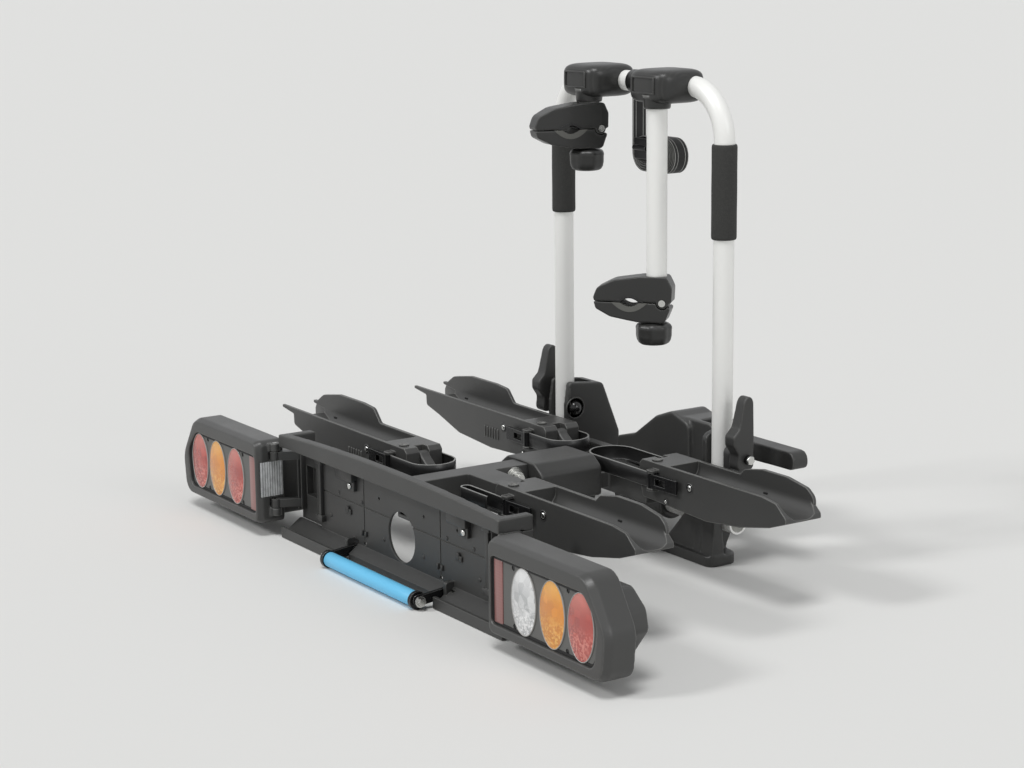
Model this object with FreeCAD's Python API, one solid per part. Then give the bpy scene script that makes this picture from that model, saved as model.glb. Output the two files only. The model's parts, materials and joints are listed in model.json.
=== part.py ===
import FreeCAD, Part
import math
import os

# A folding carrier for two bicycles that hangs on a car's tow ball.
# The origin is the centre of the tow ball. +X is to the right seen from behind the car,
# +Y points at the car and +Z is up. Sizes are in millimetres.

Vector = FreeCAD.Vector
X_AXIS = Vector(1, 0, 0)
Y_AXIS = Vector(0, 1, 0)
Z_AXIS = Vector(0, 0, 1)

# Fits and gaps
running = 0.05
seat_gap = 0.3
slack = 0.6
moving_gap = 2.0

# Tube and pin sizes
tube_radius = 15.0
tube_wall = 2.0
pin_radius = 4.0

# Hoop: an upright U of tube behind the car
hoop_y = -105.0
leg_x = 198.0
hoop_pivot_z = 52.0
leg_end_z = 27.0
bar_z = 572.0
hoop_bend = 75.0
foam_radius = 18.0
foam_low = 361.0
foam_high = 495.0

# Tilt axle and feet
axle_y = -85.0
axle_z = -55.0
axle_radius = 16.0
axle_wall = 3.0
axle_half = 212.0
foot_bottom = -117.0
foot_inner_x = 62.0
foot_outer_x = 204.0
foot_front_y = -130.0
foot_rear_y = -75.0
foot_sole = 16.0
foot_upright = 28.0
foot_eye = 20.0

# Spine, cross beams and crossmember
spine_half = 18.0
spine_step_y = -285.0
spine_rear_y = -124.0
spine_top = 30.0
spine_low_top = -2.0
spine_bottom = -26.0
channel_half = 12.0
channel_top = -8.0
channel_bottom = -20.0
beam_end_x = 108.0
beam_inset = 21.0
beam_depth = 45.0
beam_high_bottom = -14.0
beam_low_top = 2.0
beam_low_bottom = -34.0
crossmember_depth = 16.0
crossmember_top = 14.0
base_z = -22.0
bolt_y = -346.0
bolt_z = 15.0
bolt_radius = 6.0

# Latch cover over the spine
latch_half = 55.0
latch_front_y = -322.0
latch_rear_y = -215.0
latch_top = 33.0

# Wheel trays
tray_near_y = -444.0
tray_pitch = 249.0
tray_width = 62.0
tray_wall = 4.0
tray_far_wall = 5.0
tray_top = 41.0
tray_floor = 15.0
tray_floor_thick = 5.0
tray_start_x = 121.0
tray_keel = -20.0
trough_corner = 20.0
block_end_x = 186.0
hump_start_x = 262.0
pivot_x = 127.0
pivot_z = 25.0
lug_radius = 10.0
lug_width = 16.0
cap_radius = 7.5
cap_x = 148.0
cap_inset = 12.0
drain_x = 386.0

# Wheel straps and their ratchets
strap_low = 6.0
strap_height = 22.0
strap_thick = 2.2
barrel_x = 160.0
barrel_radius = 5.5
barrel_pin = 3.0
barrel_offset = 8.0
ratchet_plate = 4.0
ratchet_length = 58.0
loop_reach = {"front_left": 61.0, "rear_left": 72.0, "rear_right": -17.0}
tucked_reach = 62.0
tucked_width = 15.0

# Number plate board
board_y = -526.0
board_thick = 4.0
board_half = 238.0
board_top = 27.0
board_fold_z = -90.0
shelf_y = -554.0
shelf_thick = 4.0
lip_bottom = -116.0
lip_height = 16.0
hole_radius = 37.0
hole_z = -51.5
groove_x = 106.0
groove_z = -30.0
groove_width = 2.6
groove_depth = 1.5
catch_x = 168.0
catch_half = 9.0
lip_gap_y = -543.0

# Top rail of the board
rail_front_y = -560.0
rail_half = 305.0
rail_low = 27.0
rail_height = 19.0
rail_low_bow = 1.5
rail_high_bow = 9.0
rail_depth = 15.0
rail_skin = 5.0
rail_return = 55.0
rail_end = 16.0
rail_tab = 14.0
shelf_overhang = 3.0
shelf_half = rail_half + shelf_overhang

# Bracket columns and lamp hinge
column_overlap = 12.0
column_inner_x = board_half - column_overlap
column_back_y = -505.0
column_top = 25.0
column_recess = 12.0
hinge_offset = 13.0
hinge_x = rail_half + hinge_offset
hinge_y = -560.0
hinge_eye = 8.0
hinge_low_z = -70.0
hinge_high_z = 4.0
hinge_arm = 13.0

# Lamps
wing_inner_x = hinge_x + 4.0
wing_width = 263.0
wing_outer_x = wing_inner_x + wing_width
wing_front_y = -590.0
wing_step_y = -544.0
wing_back_y = -503.0
wing_top = 34.0
wing_bottom = -96.0
wing_wall = 5.0
rear_inner_x = wing_inner_x + 8.0
rear_outer_x = wing_outer_x - 30.0
rear_top = 2.0
rear_bottom = -88.0
panel_inner_x = wing_inner_x + 8.0
panel_outer_x = wing_outer_x - 19.0
panel_top = 11.0
panel_bottom = -80.0
panel_recess = 5.0
panel_thick = 4.0
lens_z = -35.0
lens_half_width = 27.1
lens_half_height = 43.7
lens_centres = tuple(wing_inner_x + place for place in (79.9, 143.3, 205.1))
lens_proud = 3.0
strip_inner_x = wing_inner_x + 12.0
strip_width = 20.0
strip_outer_x = strip_inner_x + strip_width
screw_radius = 3.5
window_front_y = -583.0
window_rear_y = -546.0
window_low = -53.0
window_high = 1.0
window_thick = 4.0

# Release pedal under the board
pedal_y = -577.0
pedal_z = -104.0
pedal_pivot_y = -530.0
pedal_pivot_z = -97.0
pedal_half = 121.0
pedal_rod = 8.0
grip_radius = 11.0
flange_radius = 13.0
flange_thick = 6.0
pedal_arm = 6.0
pedal_arm_half = 7.0
pedal_slot_z = -84.0

# Coupling on the tow ball
ball_radius = 25.0
cup_half = 45.0
cup_rear_y = 60.0
cup_top = 40.0
coupling_low = -28.0
sleeve_half = 60.0
sleeve_radius = 26.0
cover_front_y = -57.0
lever_x = 95.0
lever_z = 42.0
lever_end_x = 279.0
lever_height = 28.0
lever_front_y = -40.0
lever_width = 28.0
jaw_half = 12.0
jaw_depth = 14.0
jaw_travel = 5.0

# Bicycle arms: place of each tube, height of the jaw line and turn of the nose
arm_reach = 42.0
arm_places = {"left": (-70.0, 502.0, -12.0), "right": (97.0, 263.0, -47.0)}
collar_radius = 24.0
collar_half = 34.0
socket_low = 552.0
socket_high = 592.0
socket_radius = 20.0
arm_tube_top = 577.0

# Clamp on each arm, in its own frame: s along the nose, z up from the jaw line
head_half = 19.0
head_top = 38.0
tube_seat = 20.0
nose_length = 92.0
jaw_bottom = -30.0
hinge_s = -11.0
knuckle_disc = 9.0
tongue_half = 8.0
clamp_pin = 3.2
eye_centre = 37.0
eye_half = 17.0
eye_rise = 7.0
eye_drop = 9.0
pad_thick = 2.5
thread_radius = 4.0
thread_s = 4.0
thread_top = 8.0
knob_radius = 25.0
knob_height = 30.0
knob_lobes = 8

# Hinge housings and levers of the hoop
housing_inner_x = 170.0
housing_outer_x = 222.0
cheek_inner = 10.0
cheek_outer = 6.0
cam_inner_x = 234.0
cam_outer_x = 256.0

# Securing strap rolled up under the bar
coil_x = 50.0
coil_z = 470.0
coil_length = 50.0
coil_turns = 6
coil_core = 8.0
coil_pitch = 3.4
coil_thick = 1.6
coil_width = 25.0
loop_thick = 2.0


def box(low, high):
    """Block between two opposite corners."""
    return Part.makeBox(high[0] - low[0], high[1] - low[1], high[2] - low[2], Vector(*low))


def rod(start, end, radius):
    """Round bar between two points."""
    start = Vector(*start)
    along = Vector(*end) - start
    return Part.makeCylinder(radius, along.Length, start, along)


def across(y, z, start, end, radius):
    """Round bar along X."""
    return rod((start, y, z), (end, y, z), radius)


def upright(x, y, start, end, radius):
    """Round bar along Z."""
    return rod((x, y, start), (x, y, end), radius)


PLANES = {
    "xy": (lambda level: lambda p: Vector(p.x, p.y, level), Z_AXIS),
    "xz": (lambda level: lambda p: Vector(p.x, level, p.y), Y_AXIS),
    "yz": (lambda level: lambda p: Vector(level, p.x, p.y), X_AXIS),
}


def outline(points, plane, level):
    """Closed wire in a plane; each corner is (u, v) or (u, v, radius)."""
    place = PLANES[plane][0](level)
    corners = []
    count = len(points)
    for index, point in enumerate(points):
        here = Vector(point[0], point[1], 0)
        if len(point) == 2:
            corners.append((here, None, here))
            continue
        before = Vector(points[index - 1][0], points[index - 1][1], 0)
        after = Vector(points[(index + 1) % count][0], points[(index + 1) % count][1], 0)
        back = (before - here).normalize()
        onward = (after - here).normalize()
        half = back.getAngle(onward) / 2
        reach = point[2] / math.tan(half)
        middle = here + (back + onward).normalize() * (point[2] / math.sin(half) - point[2])
        corners.append((here + back * reach, middle, here + onward * reach))
    edges = []
    for index, (start, middle, end) in enumerate(corners):
        if middle is not None:
            edges.append(Part.Arc(place(start), place(middle), place(end)).toShape())
        following = corners[(index + 1) % count][0]
        edges.append(Part.LineSegment(place(end), place(following)).toShape())
    return Part.Wire(edges)


def plate(points, plane, start, end):
    """Prism of an outline between two levels."""
    return Part.Face(outline(points, plane, start)).extrude(PLANES[plane][1] * (end - start))


def segment(centre, half, depth, start, end):
    """Prism along Y of a circle segment in XZ: a straight chord and an arc on the depth's side."""
    place = PLANES["xz"][0](start)
    left = place(Vector(centre[0] - half, centre[1], 0))
    middle = place(Vector(centre[0], centre[1] + depth, 0))
    right = place(Vector(centre[0] + half, centre[1], 0))
    wire = Part.Wire([Part.Arc(left, middle, right).toShape(), Part.LineSegment(right, left).toShape()])
    return Part.Face(wire).extrude(Y_AXIS * (end - start))


def fused(first, *others):
    """One solid made of pieces that overlap."""
    return first.multiFuse(list(others)).removeSplitter()


def without(shape, *tools):
    """The shape with every tool cut out of it."""
    for tool in tools:
        shape = shape.cut(tool)
    return shape


def mirrored(shape):
    """The same piece on the left-hand side."""
    return shape.mirror(Vector(0, 0, 0), X_AXIS)


def group(*shapes):
    """Separate solids kept together under one name."""
    return Part.makeCompound(list(shapes))


def both_sides(*shapes):
    """Right-hand pieces and their left-hand twins as one group."""
    return group(*shapes, *[mirrored(shape) for shape in shapes])


# Main frame of the platform

def tray_rows():
    """Name and near edge of the front and the rear row of trays."""
    return (("front", tray_near_y), ("rear", tray_near_y + tray_pitch))


def make_beam_arm(near_y, low, high):
    """Right-hand arm of a cross beam, with the tongue that carries a tray."""
    front = near_y + beam_inset
    arm = box((0, front, low), (beam_end_x, front + beam_depth, high))
    start = near_y + tray_width / 2 - lug_width / 2
    root_x = beam_end_x - 30
    tongue = plate(
        [(root_x, low + 6), (beam_end_x, low + 6), (pivot_x + 4, pivot_z - lug_radius + 1),
         (pivot_x, pivot_z + lug_radius), (root_x, high)],
        "xz", start, start + lug_width)
    eye = rod((pivot_x, start, pivot_z), (pivot_x, start + lug_width, pivot_z), lug_radius)
    bore = rod((pivot_x, start - 1, pivot_z), (pivot_x, start + lug_width + 1, pivot_z), pin_radius + running)
    return fused(arm, tongue, eye).cut(bore)


def make_main_frame():
    """Welded frame: spine, two cross beams and the crossmember before the hoop."""
    front_y = board_y + board_thick + seat_gap
    spine = plate(
        [(front_y, spine_bottom), (spine_rear_y, spine_bottom), (spine_rear_y, spine_low_top),
         (spine_step_y, spine_low_top), (spine_step_y - 22, spine_top, 8), (front_y, spine_top)],
        "yz", -spine_half, spine_half)
    arms = []
    for row, near_y in tray_rows():
        right_high = row == "front"
        low = beam_high_bottom if right_high else beam_low_bottom
        high = spine_top if right_high else beam_low_top
        arms.append(make_beam_arm(near_y, low, high))
        arms.append(mirrored(make_beam_arm(near_y, beam_low_bottom, beam_low_top)))
    end_x = housing_inner_x - seat_gap
    crossmember = plate(
        [(spine_rear_y, base_z), (spine_rear_y + crossmember_depth, base_z),
         (spine_rear_y + crossmember_depth, crossmember_top, 3), (spine_rear_y, crossmember_top, 3)],
        "yz", -end_x, end_x)
    frame = fused(spine, crossmember, *arms)
    channel = box((-channel_half, front_y - 1, channel_bottom),
                  (channel_half, spine_rear_y + crossmember_depth + 1, channel_top))
    bolt_hole = across(bolt_y, bolt_z, -spine_half - 1, spine_half + 1, bolt_radius + seat_gap)
    return without(frame, channel, bolt_hole)


def make_latch_cover():
    """Moulded cover that sits astride the spine over the tilt latch."""
    cover = plate(
        [(-latch_half, spine_bottom, 6), (latch_half, spine_bottom, 6),
         (latch_half, latch_top - 14, 10), (latch_half - 20, latch_top, 10),
         (-latch_half + 20, latch_top, 10), (-latch_half, latch_top - 14, 10)],
        "xz", latch_front_y, latch_rear_y)
    inner = spine_half + seat_gap
    low_tunnel = box((-inner, latch_front_y - 1, spine_bottom - 1),
                     (inner, latch_rear_y + 1, spine_low_top + seat_gap))
    high_tunnel = box((-inner, latch_front_y - 1, spine_bottom - 1),
                      (inner, spine_step_y + seat_gap, spine_top + seat_gap))
    return without(cover, low_tunnel, high_tunnel)


def make_spine_bolt():
    """Bolt through the spine with two washers and a nut on its right-hand end."""
    face = spine_half + seat_gap
    bolt = fused(across(bolt_y, bolt_z, -face, face + 20, bolt_radius),
                 across(bolt_y, bolt_z, -face - 6, -face, bolt_radius + 4))
    rings = []
    place = face
    for thick, radius in ((2.5, 14.0), (2.5, 11.5), (8.0, 9.0)):
        ring = across(bolt_y, bolt_z, place, place + thick, radius)
        rings.append(ring.cut(across(bolt_y, bolt_z, place - 1, place + thick + 1, bolt_radius + running)))
        place += thick + seat_gap
    return [bolt] + rings


def make_foot():
    """Right-hand foot: sole, upright with the axle bore, and a gusset."""
    top = base_z - seat_gap
    sole = plate(
        [(foot_inner_x, foot_front_y, 8), (foot_outer_x, foot_front_y, 12),
         (foot_outer_x, foot_rear_y, 20), (foot_inner_x, foot_rear_y, 8)],
        "xy", foot_bottom, foot_bottom + foot_sole)
    rear = axle_y + axle_radius + 6
    wall = plate(
        [(foot_front_y + 6, foot_bottom + 2), (foot_rear_y - 10, foot_bottom + 2), (rear, axle_z - 10, 6),
         (rear, axle_z + 10, 6), (axle_y + 4, top), (axle_y - 35, top)],
        "yz", foot_outer_x - foot_upright - foot_eye, foot_outer_x - foot_upright)
    pillar = plate(
        [(foot_front_y + 4, foot_bottom + 2), (axle_y - axle_radius, foot_bottom + 2, 4),
         (axle_y - axle_radius - 8, top), (axle_y - 35, top)],
        "yz", foot_outer_x - foot_upright - 1, foot_outer_x - 1)
    gusset = plate(
        [(foot_inner_x + 8, foot_bottom + 2), (foot_outer_x - 2, foot_bottom + 2),
         (foot_outer_x - 2, top), (foot_outer_x - 46, top)],
        "xz", foot_front_y + 8, foot_front_y + 16)
    bore = across(axle_y, axle_z, foot_outer_x - foot_upright - foot_eye - 2, foot_outer_x + 2,
                  axle_radius + running)
    return fused(sole, wall, pillar, gusset).cut(bore)


def make_axle():
    """Tube that the coupling tilts on."""
    return across(axle_y, axle_z, -axle_half, axle_half, axle_radius).cut(
        across(axle_y, axle_z, -axle_half - 1, axle_half + 1, axle_radius - axle_wall))


def hinge_bore():
    """Hole for the pivot bolt of the right leg."""
    return across(hoop_y, hoop_pivot_z, housing_inner_x - 20, cam_outer_x + 20, pin_radius + running)


def make_hinge_housing_left():
    """Moulded housing round the left leg of the hoop, open above and in front."""
    body = plate(
        [(-120, base_z), (-19, base_z, 4), (-19, 5, 8), (-51, 87, 10), (-115, 94, 6), (-120, 60)],
        "yz", housing_inner_x, housing_outer_x)
    slot = box((housing_inner_x + cheek_inner, -140, crossmember_top),
               (housing_outer_x - cheek_outer, -66, 120))
    return mirrored(without(body, slot, hinge_bore()))


def make_hinge_bracket_right():
    """Low bracket of the right leg: a base and two cheeks."""
    base = plate(
        [(-120, base_z), (-36, base_z, 4), (-36, 2, 6), (-60, crossmember_top, 4), (-120, crossmember_top)],
        "yz", housing_inner_x, cam_inner_x - moving_gap)
    inner = plate(
        [(-120, base_z), (-66, base_z), (-66, 62, 12), (-90, 84, 12), (-120, 76, 12)],
        "yz", housing_inner_x, housing_inner_x + cheek_inner)
    outer = plate(
        [(-118, base_z), (-90, base_z), (-90, 68, 13), (-118, 68, 13)],
        "yz", housing_outer_x - cheek_outer, cam_inner_x - moving_gap)
    return fused(base, inner, outer).cut(hinge_bore())


def make_hoop_bolts():
    """Two pivot bolts of the hoop, each with a domed inner head and an outer nut."""
    inner = housing_inner_x - seat_gap
    outer = cam_outer_x + seat_gap
    shank = across(hoop_y, hoop_pivot_z, inner, outer + 5, pin_radius)
    ball = Part.makeSphere(12, Vector(inner + 3, hoop_y, hoop_pivot_z))
    dome = ball.common(across(hoop_y, hoop_pivot_z, inner - 12, inner, 12))
    nut = across(hoop_y, hoop_pivot_z, outer, outer + 6, 7)
    return both_sides(fused(shank, dome, nut))


# Number plate board and its rail

def bowed_bar(low, high, low_bow, start, end):
    """Bar across the board whose top rises by the bow in the middle, and its bottom by less."""
    level = PLANES["xz"][0](start)
    low_arc = Part.Arc(level(Vector(-rail_half, low, 0)), level(Vector(0, low + low_bow, 0)),
                       level(Vector(rail_half, low, 0))).toShape()
    high_arc = Part.Arc(level(Vector(rail_half, high, 0)), level(Vector(0, high + rail_high_bow, 0)),
                        level(Vector(-rail_half, high, 0))).toShape()
    ends = [Part.LineSegment(level(Vector(side * rail_half, one, 0)),
                             level(Vector(side * rail_half, two, 0))).toShape()
            for side, one, two in ((1, low, high), (-1, high, low))]
    wire = Part.Wire([low_arc, ends[0], high_arc, ends[1]])
    return Part.Face(wire).extrude(Y_AXIS * (end - start))


def make_top_rail():
    """Bowed rail before the board, with a ledge on the board and two ends returned towards the car."""
    high = rail_low + rail_height
    rear = rail_front_y + rail_depth
    front = bowed_bar(rail_low, high, rail_low_bow, rail_front_y, rail_front_y + rail_skin)
    back = bowed_bar(rail_low, high, rail_low_bow, rear - rail_skin, rear)
    deck = bowed_bar(high - rail_skin, high, rail_high_bow, rail_front_y, rear)
    ledge = box((-board_half, rear - rail_skin, board_top + seat_gap),
                (board_half, board_y + board_thick, board_top + rail_skin + rail_low_bow))
    returns = []
    for side in (-1, 1):
        low_x, high_x = sorted((side * (rail_half - rail_end), side * rail_half))
        returns.append(box((low_x, rail_front_y, rail_low), (high_x, rail_front_y + rail_return, high)))
        returns.append(box((low_x, column_back_y - rail_tab, column_top + seat_gap), (high_x, column_back_y, high)))
    return fused(front, back, deck, ledge, *returns)


def make_plate_board():
    """Number plate board: flat panel, slanted shelf and lower lip with a gap for the pedal."""
    back = board_y + board_thick
    panel = plate(
        [(-board_half, board_fold_z - 4), (board_half, board_fold_z - 4),
         (board_half, board_top, 4), (-board_half, board_top, 4)],
        "xz", board_y, back)
    shelf = plate(
        [(back, board_fold_z), (back, board_fold_z - 6), (shelf_y + shelf_thick, lip_bottom),
         (shelf_y, lip_bottom), (shelf_y, lip_bottom + 6), (board_y, board_fold_z)],
        "yz", -shelf_half, shelf_half)
    lip = box((-shelf_half, shelf_y - 4, lip_bottom), (shelf_half, shelf_y + 1, lip_bottom + lip_height))
    board = fused(panel, shelf, lip)
    cuts = [rod((0, board_y - 30, hole_z), (0, back + 1, hole_z), hole_radius)]
    cuts.append(box((-board_half + 6, board_y - 1, groove_z - groove_width / 2),
                    (board_half - 6, board_y + groove_depth, groove_z + groove_width / 2)))
    for side in (-1, 1):
        x = side * groove_x
        cuts.append(box((x - groove_width / 2, board_y - 1, board_fold_z + 8),
                        (x + groove_width / 2, board_y + groove_depth, board_top - 4)))
        cuts.append(box((side * catch_x - catch_half, board_y - 1, 2),
                        (side * catch_x + catch_half, board_y + groove_depth, 12)))
        cuts.append(box((x - 4, board_y - 1, board_fold_z + 2), (x + 4, back + 1, board_fold_z + 7)))
        for offset in (-44, 44):
            cuts.append(rod((x + offset, board_y - 1, -8), (x + offset, back + 1, -8), 2.6))
    slot_half = pedal_half + flange_thick + pedal_arm + moving_gap
    arm_slot_half = pedal_half + flange_thick - moving_gap
    cuts.append(box((-slot_half, shelf_y - 5, lip_bottom - 1), (slot_half, lip_gap_y, lip_bottom + lip_height + 1)))
    for low_x, high_x in ((-slot_half, -arm_slot_half), (arm_slot_half, slot_half)):
        cuts.append(box((low_x, lip_gap_y - 1, lip_bottom - 1), (high_x, board_y + 20, pedal_slot_z)))
    board = without(board, *cuts)
    ear = plate(
        [(pedal_pivot_y - 10, pedal_pivot_z - 10, 8), (pedal_pivot_y + 10, pedal_pivot_z - 10, 8),
         (pedal_pivot_y + 10, pedal_slot_z + 2, 4), (pedal_pivot_y - 10, pedal_slot_z + 2, 4)],
        "yz", slot_half - 0.5, slot_half + 6)
    board = fused(board, ear, mirrored(ear))
    bore = across(pedal_pivot_y, pedal_pivot_z, slot_half - 2, slot_half + 14, pin_radius + running)
    return without(board, bore, mirrored(bore))


def hinge_levels():
    """Bottom and top of the two bracket arms of a lamp hinge."""
    return ((hinge_low_z, hinge_low_z + hinge_arm), (hinge_high_z, hinge_high_z + hinge_arm))


def make_wing_bracket():
    """Right-hand column beside the board with the two arms of the lamp hinge."""
    column = box((column_inner_x, board_y + board_thick + seat_gap, board_fold_z + slack),
                 (rail_half, column_back_y, column_top))
    window = box((column_inner_x + 16, board_y, -50), (rail_half - 16, board_y + board_thick + column_recess, -4))
    pieces = []
    for low, high in hinge_levels():
        pieces.append(plate(
            [(rail_half - 12, column_back_y - 4), (rail_half - 12, column_back_y - 14),
             (hinge_x - hinge_eye + 1, hinge_y), (hinge_x + 5, hinge_y), (rail_half, column_back_y - 12),
             (rail_half, column_back_y - 4)],
            "xy", low, high))
        pieces.append(upright(hinge_x, hinge_y, low, high, hinge_eye))
    bore = upright(hinge_x, hinge_y, wing_bottom, wing_top, pin_radius + running)
    return without(fused(column.cut(window), *pieces), bore)


# Lamps

def wing_outline(inset):
    """Front outline of a lamp casing: square inner end and rounded outer end."""
    return [
        (wing_inner_x + inset, wing_bottom + inset, 10),
        (wing_inner_x + inset, wing_top - inset, 10),
        (wing_outer_x - 42 - inset, wing_top - inset, 28),
        (wing_outer_x - inset, wing_top - 66, 40),
        (wing_outer_x - 7 - inset, wing_bottom + inset, 22),
    ]


def rear_outline(inset):
    """Outline of the smaller box on the back of a lamp casing."""
    return [
        (rear_inner_x + inset, rear_bottom + inset, 10),
        (rear_inner_x + inset, rear_top - inset, 10),
        (rear_outer_x - 34 - inset, rear_top - inset, 16),
        (rear_outer_x - 6 - inset, rear_top - 22, 14),
        (rear_outer_x - inset, rear_top - 48, 12),
        (rear_outer_x - 34 - inset, rear_bottom + inset, 12),
    ]


def panel_outline(inset):
    """Front outline of the lens panel."""
    return [
        (panel_inner_x + inset, panel_bottom + inset, 8),
        (panel_inner_x + inset, panel_top - inset, 8),
        (panel_outer_x - 31 - inset, panel_top - inset, 20),
        (panel_outer_x - inset, panel_top - 33, 30),
        (panel_outer_x - 8 - inset, panel_bottom + inset, 14),
    ]


def lug_levels():
    """Bottom and top of the two lugs of a lamp, just outside the bracket's arms."""
    low, high = hinge_levels()
    return ((low[0] - slack - hinge_arm, low[0] - slack), (high[1] + slack, high[1] + slack + hinge_arm))


def make_lamp_housing():
    """Right-hand lamp casing: a shell with a recess for the lens panel and two hinge lugs."""
    sections = [
        outline(wing_outline(4), "xz", wing_front_y),
        outline(wing_outline(0), "xz", wing_front_y + 10),
        outline(wing_outline(0), "xz", wing_step_y),
    ]
    body = fused(Part.makeLoft(sections, True, True),
                 plate(rear_outline(0), "xz", wing_step_y - wing_wall, wing_back_y))
    seat = wing_front_y + panel_recess + panel_thick
    recess = plate(panel_outline(0), "xz", wing_front_y - 1, seat)
    front_cavity = plate(panel_outline(7), "xz", seat - 1, wing_step_y - wing_wall)
    rear_cavity = plate(rear_outline(wing_wall), "xz", wing_step_y - wing_wall - 1, wing_back_y - wing_wall)
    body = without(body, recess, front_cavity, rear_cavity)
    for low, high in hinge_levels():
        body = body.cut(upright(hinge_x, hinge_y, low - slack, high + slack, hinge_eye + 1.5))
    lugs = []
    for low, high in lug_levels():
        lugs.append(upright(hinge_x, hinge_y, low, high, hinge_eye))
        lugs.append(box((hinge_x, hinge_y - hinge_eye, low), (wing_inner_x + 6, hinge_y + hinge_eye, high)))
    bore = upright(hinge_x, hinge_y, wing_bottom - 1, wing_top + 1, pin_radius + running)
    return without(fused(body, *lugs), bore)


def lens(centre_x, growth, start, end):
    """Elliptic lens, or its opening in the panel."""
    ellipse = Part.Ellipse(Vector(0, 0, 0), lens_half_height + growth, lens_half_width + growth).toShape()
    ellipse.rotate(Vector(0, 0, 0), Z_AXIS, 90)
    ellipse.rotate(Vector(0, 0, 0), X_AXIS, 90)
    ellipse.translate(Vector(centre_x, start, lens_z))
    return Part.Face(Part.Wire(ellipse)).extrude(Y_AXIS * (end - start))


def strip(growth, start, end):
    """Reflector strip at the inner end of the panel, or its seat."""
    half = lens_half_height - 1 + growth
    return box((strip_inner_x - growth, start, lens_z - half), (strip_outer_x + growth, end, lens_z + half))


def screw_places():
    """Places of the four screws of a lens panel."""
    return (
        (lens_centres[0] - 24, panel_top - 7), (lens_centres[0] - 22, panel_bottom + 7),
        (lens_centres[2] - 28, panel_top - 6), (lens_centres[2] - 30, panel_bottom + 6),
    )


def make_lens_panel():
    """Grey panel that carries the three lenses and the reflector strip."""
    start = wing_front_y + panel_recess
    end = start + panel_thick - seat_gap
    panel = plate(panel_outline(slack), "xz", start, end)
    cuts = [lens(centre, seat_gap, start - 1, end + 1) for centre in lens_centres]
    cuts.append(strip(seat_gap, start - 1, start + 2))
    for x, z in screw_places():
        cuts.append(rod((x, start - 1, z), (x, end + 1, z), screw_radius + seat_gap))
    return without(panel, *cuts)


def make_lenses():
    """Three lenses and the reflector strip of one lamp."""
    start = wing_front_y + panel_recess
    pieces = [lens(centre, 0, start - lens_proud, start + panel_thick - seat_gap) for centre in lens_centres]
    return group(*pieces, strip(0, start - 1, start + 2 - seat_gap))


def make_panel_screws():
    """Four screws of a lens panel, sunk a little below its face."""
    start = wing_front_y + panel_recess + 1
    end = wing_front_y + panel_recess + panel_thick - seat_gap
    return group(*[rod((x, start, z), (x, end, z), screw_radius) for x, z in screw_places()])


def plate_lamp_block(gap):
    """Space of the number plate lamp in the left casing's inner wall."""
    return box((-wing_inner_x - window_thick - gap, window_front_y - gap, window_low - gap),
               (-wing_inner_x + gap * 4, window_rear_y + gap, window_high + gap))


# Pins

def make_frame_pins():
    """Steel pins of the tray, lamp and pedal hinges, and the spine's cross bolt."""
    pins = []
    for row, near_y in tray_rows():
        start = near_y + tray_wall + 6
        end = near_y + tray_width - tray_wall - 6
        pins.append(rod((pivot_x, start, pivot_z), (pivot_x, end, pivot_z), pin_radius))
    for arm, lug in zip(hinge_levels(), lug_levels()):
        low = min(arm[0], lug[0])
        high = max(arm[1], lug[1])
        pins.append(upright(hinge_x, hinge_y, low, high, pin_radius))
    start = pedal_half + flange_thick
    end = start + pedal_arm + moving_gap + 6
    pins.append(across(pedal_pivot_y, pedal_pivot_z, start, end, pin_radius))
    return group(*pins, *[mirrored(pin) for pin in pins], *make_spine_bolt())


# Wheel trays, straps and ratchets

TRAY_ENDS = {
    "left": {
        "wall": [(372, -13, 20), (434, 6, 10), (473, 16, 6), (474, 33, 3), (512, 38, 1.5), (511, 42, 1)],
        "hump": [(297, 42, 6), (316, 62, 14), (350, 65, 30), (425, 65, 40), (478, 56, 24), (505, 39, 10), (505, 37)],
        "floor": [(430, 15, 30), (505, 37, 30), (520, 38)],
    },
    "right": {
        "wall": [(350, -12, 20), (412, 1, 10), (446, 13, 3), (445, 20, 2), (425, 37, 8), (395, 41, 20)],
        "hump": [(290, 50, 10), (328, 57, 30), (380, 57, 40), (421, 50, 14), (436, 39, 14), (434, 9, 2)],
        "floor": [(520, 15)],
    },
}


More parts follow.
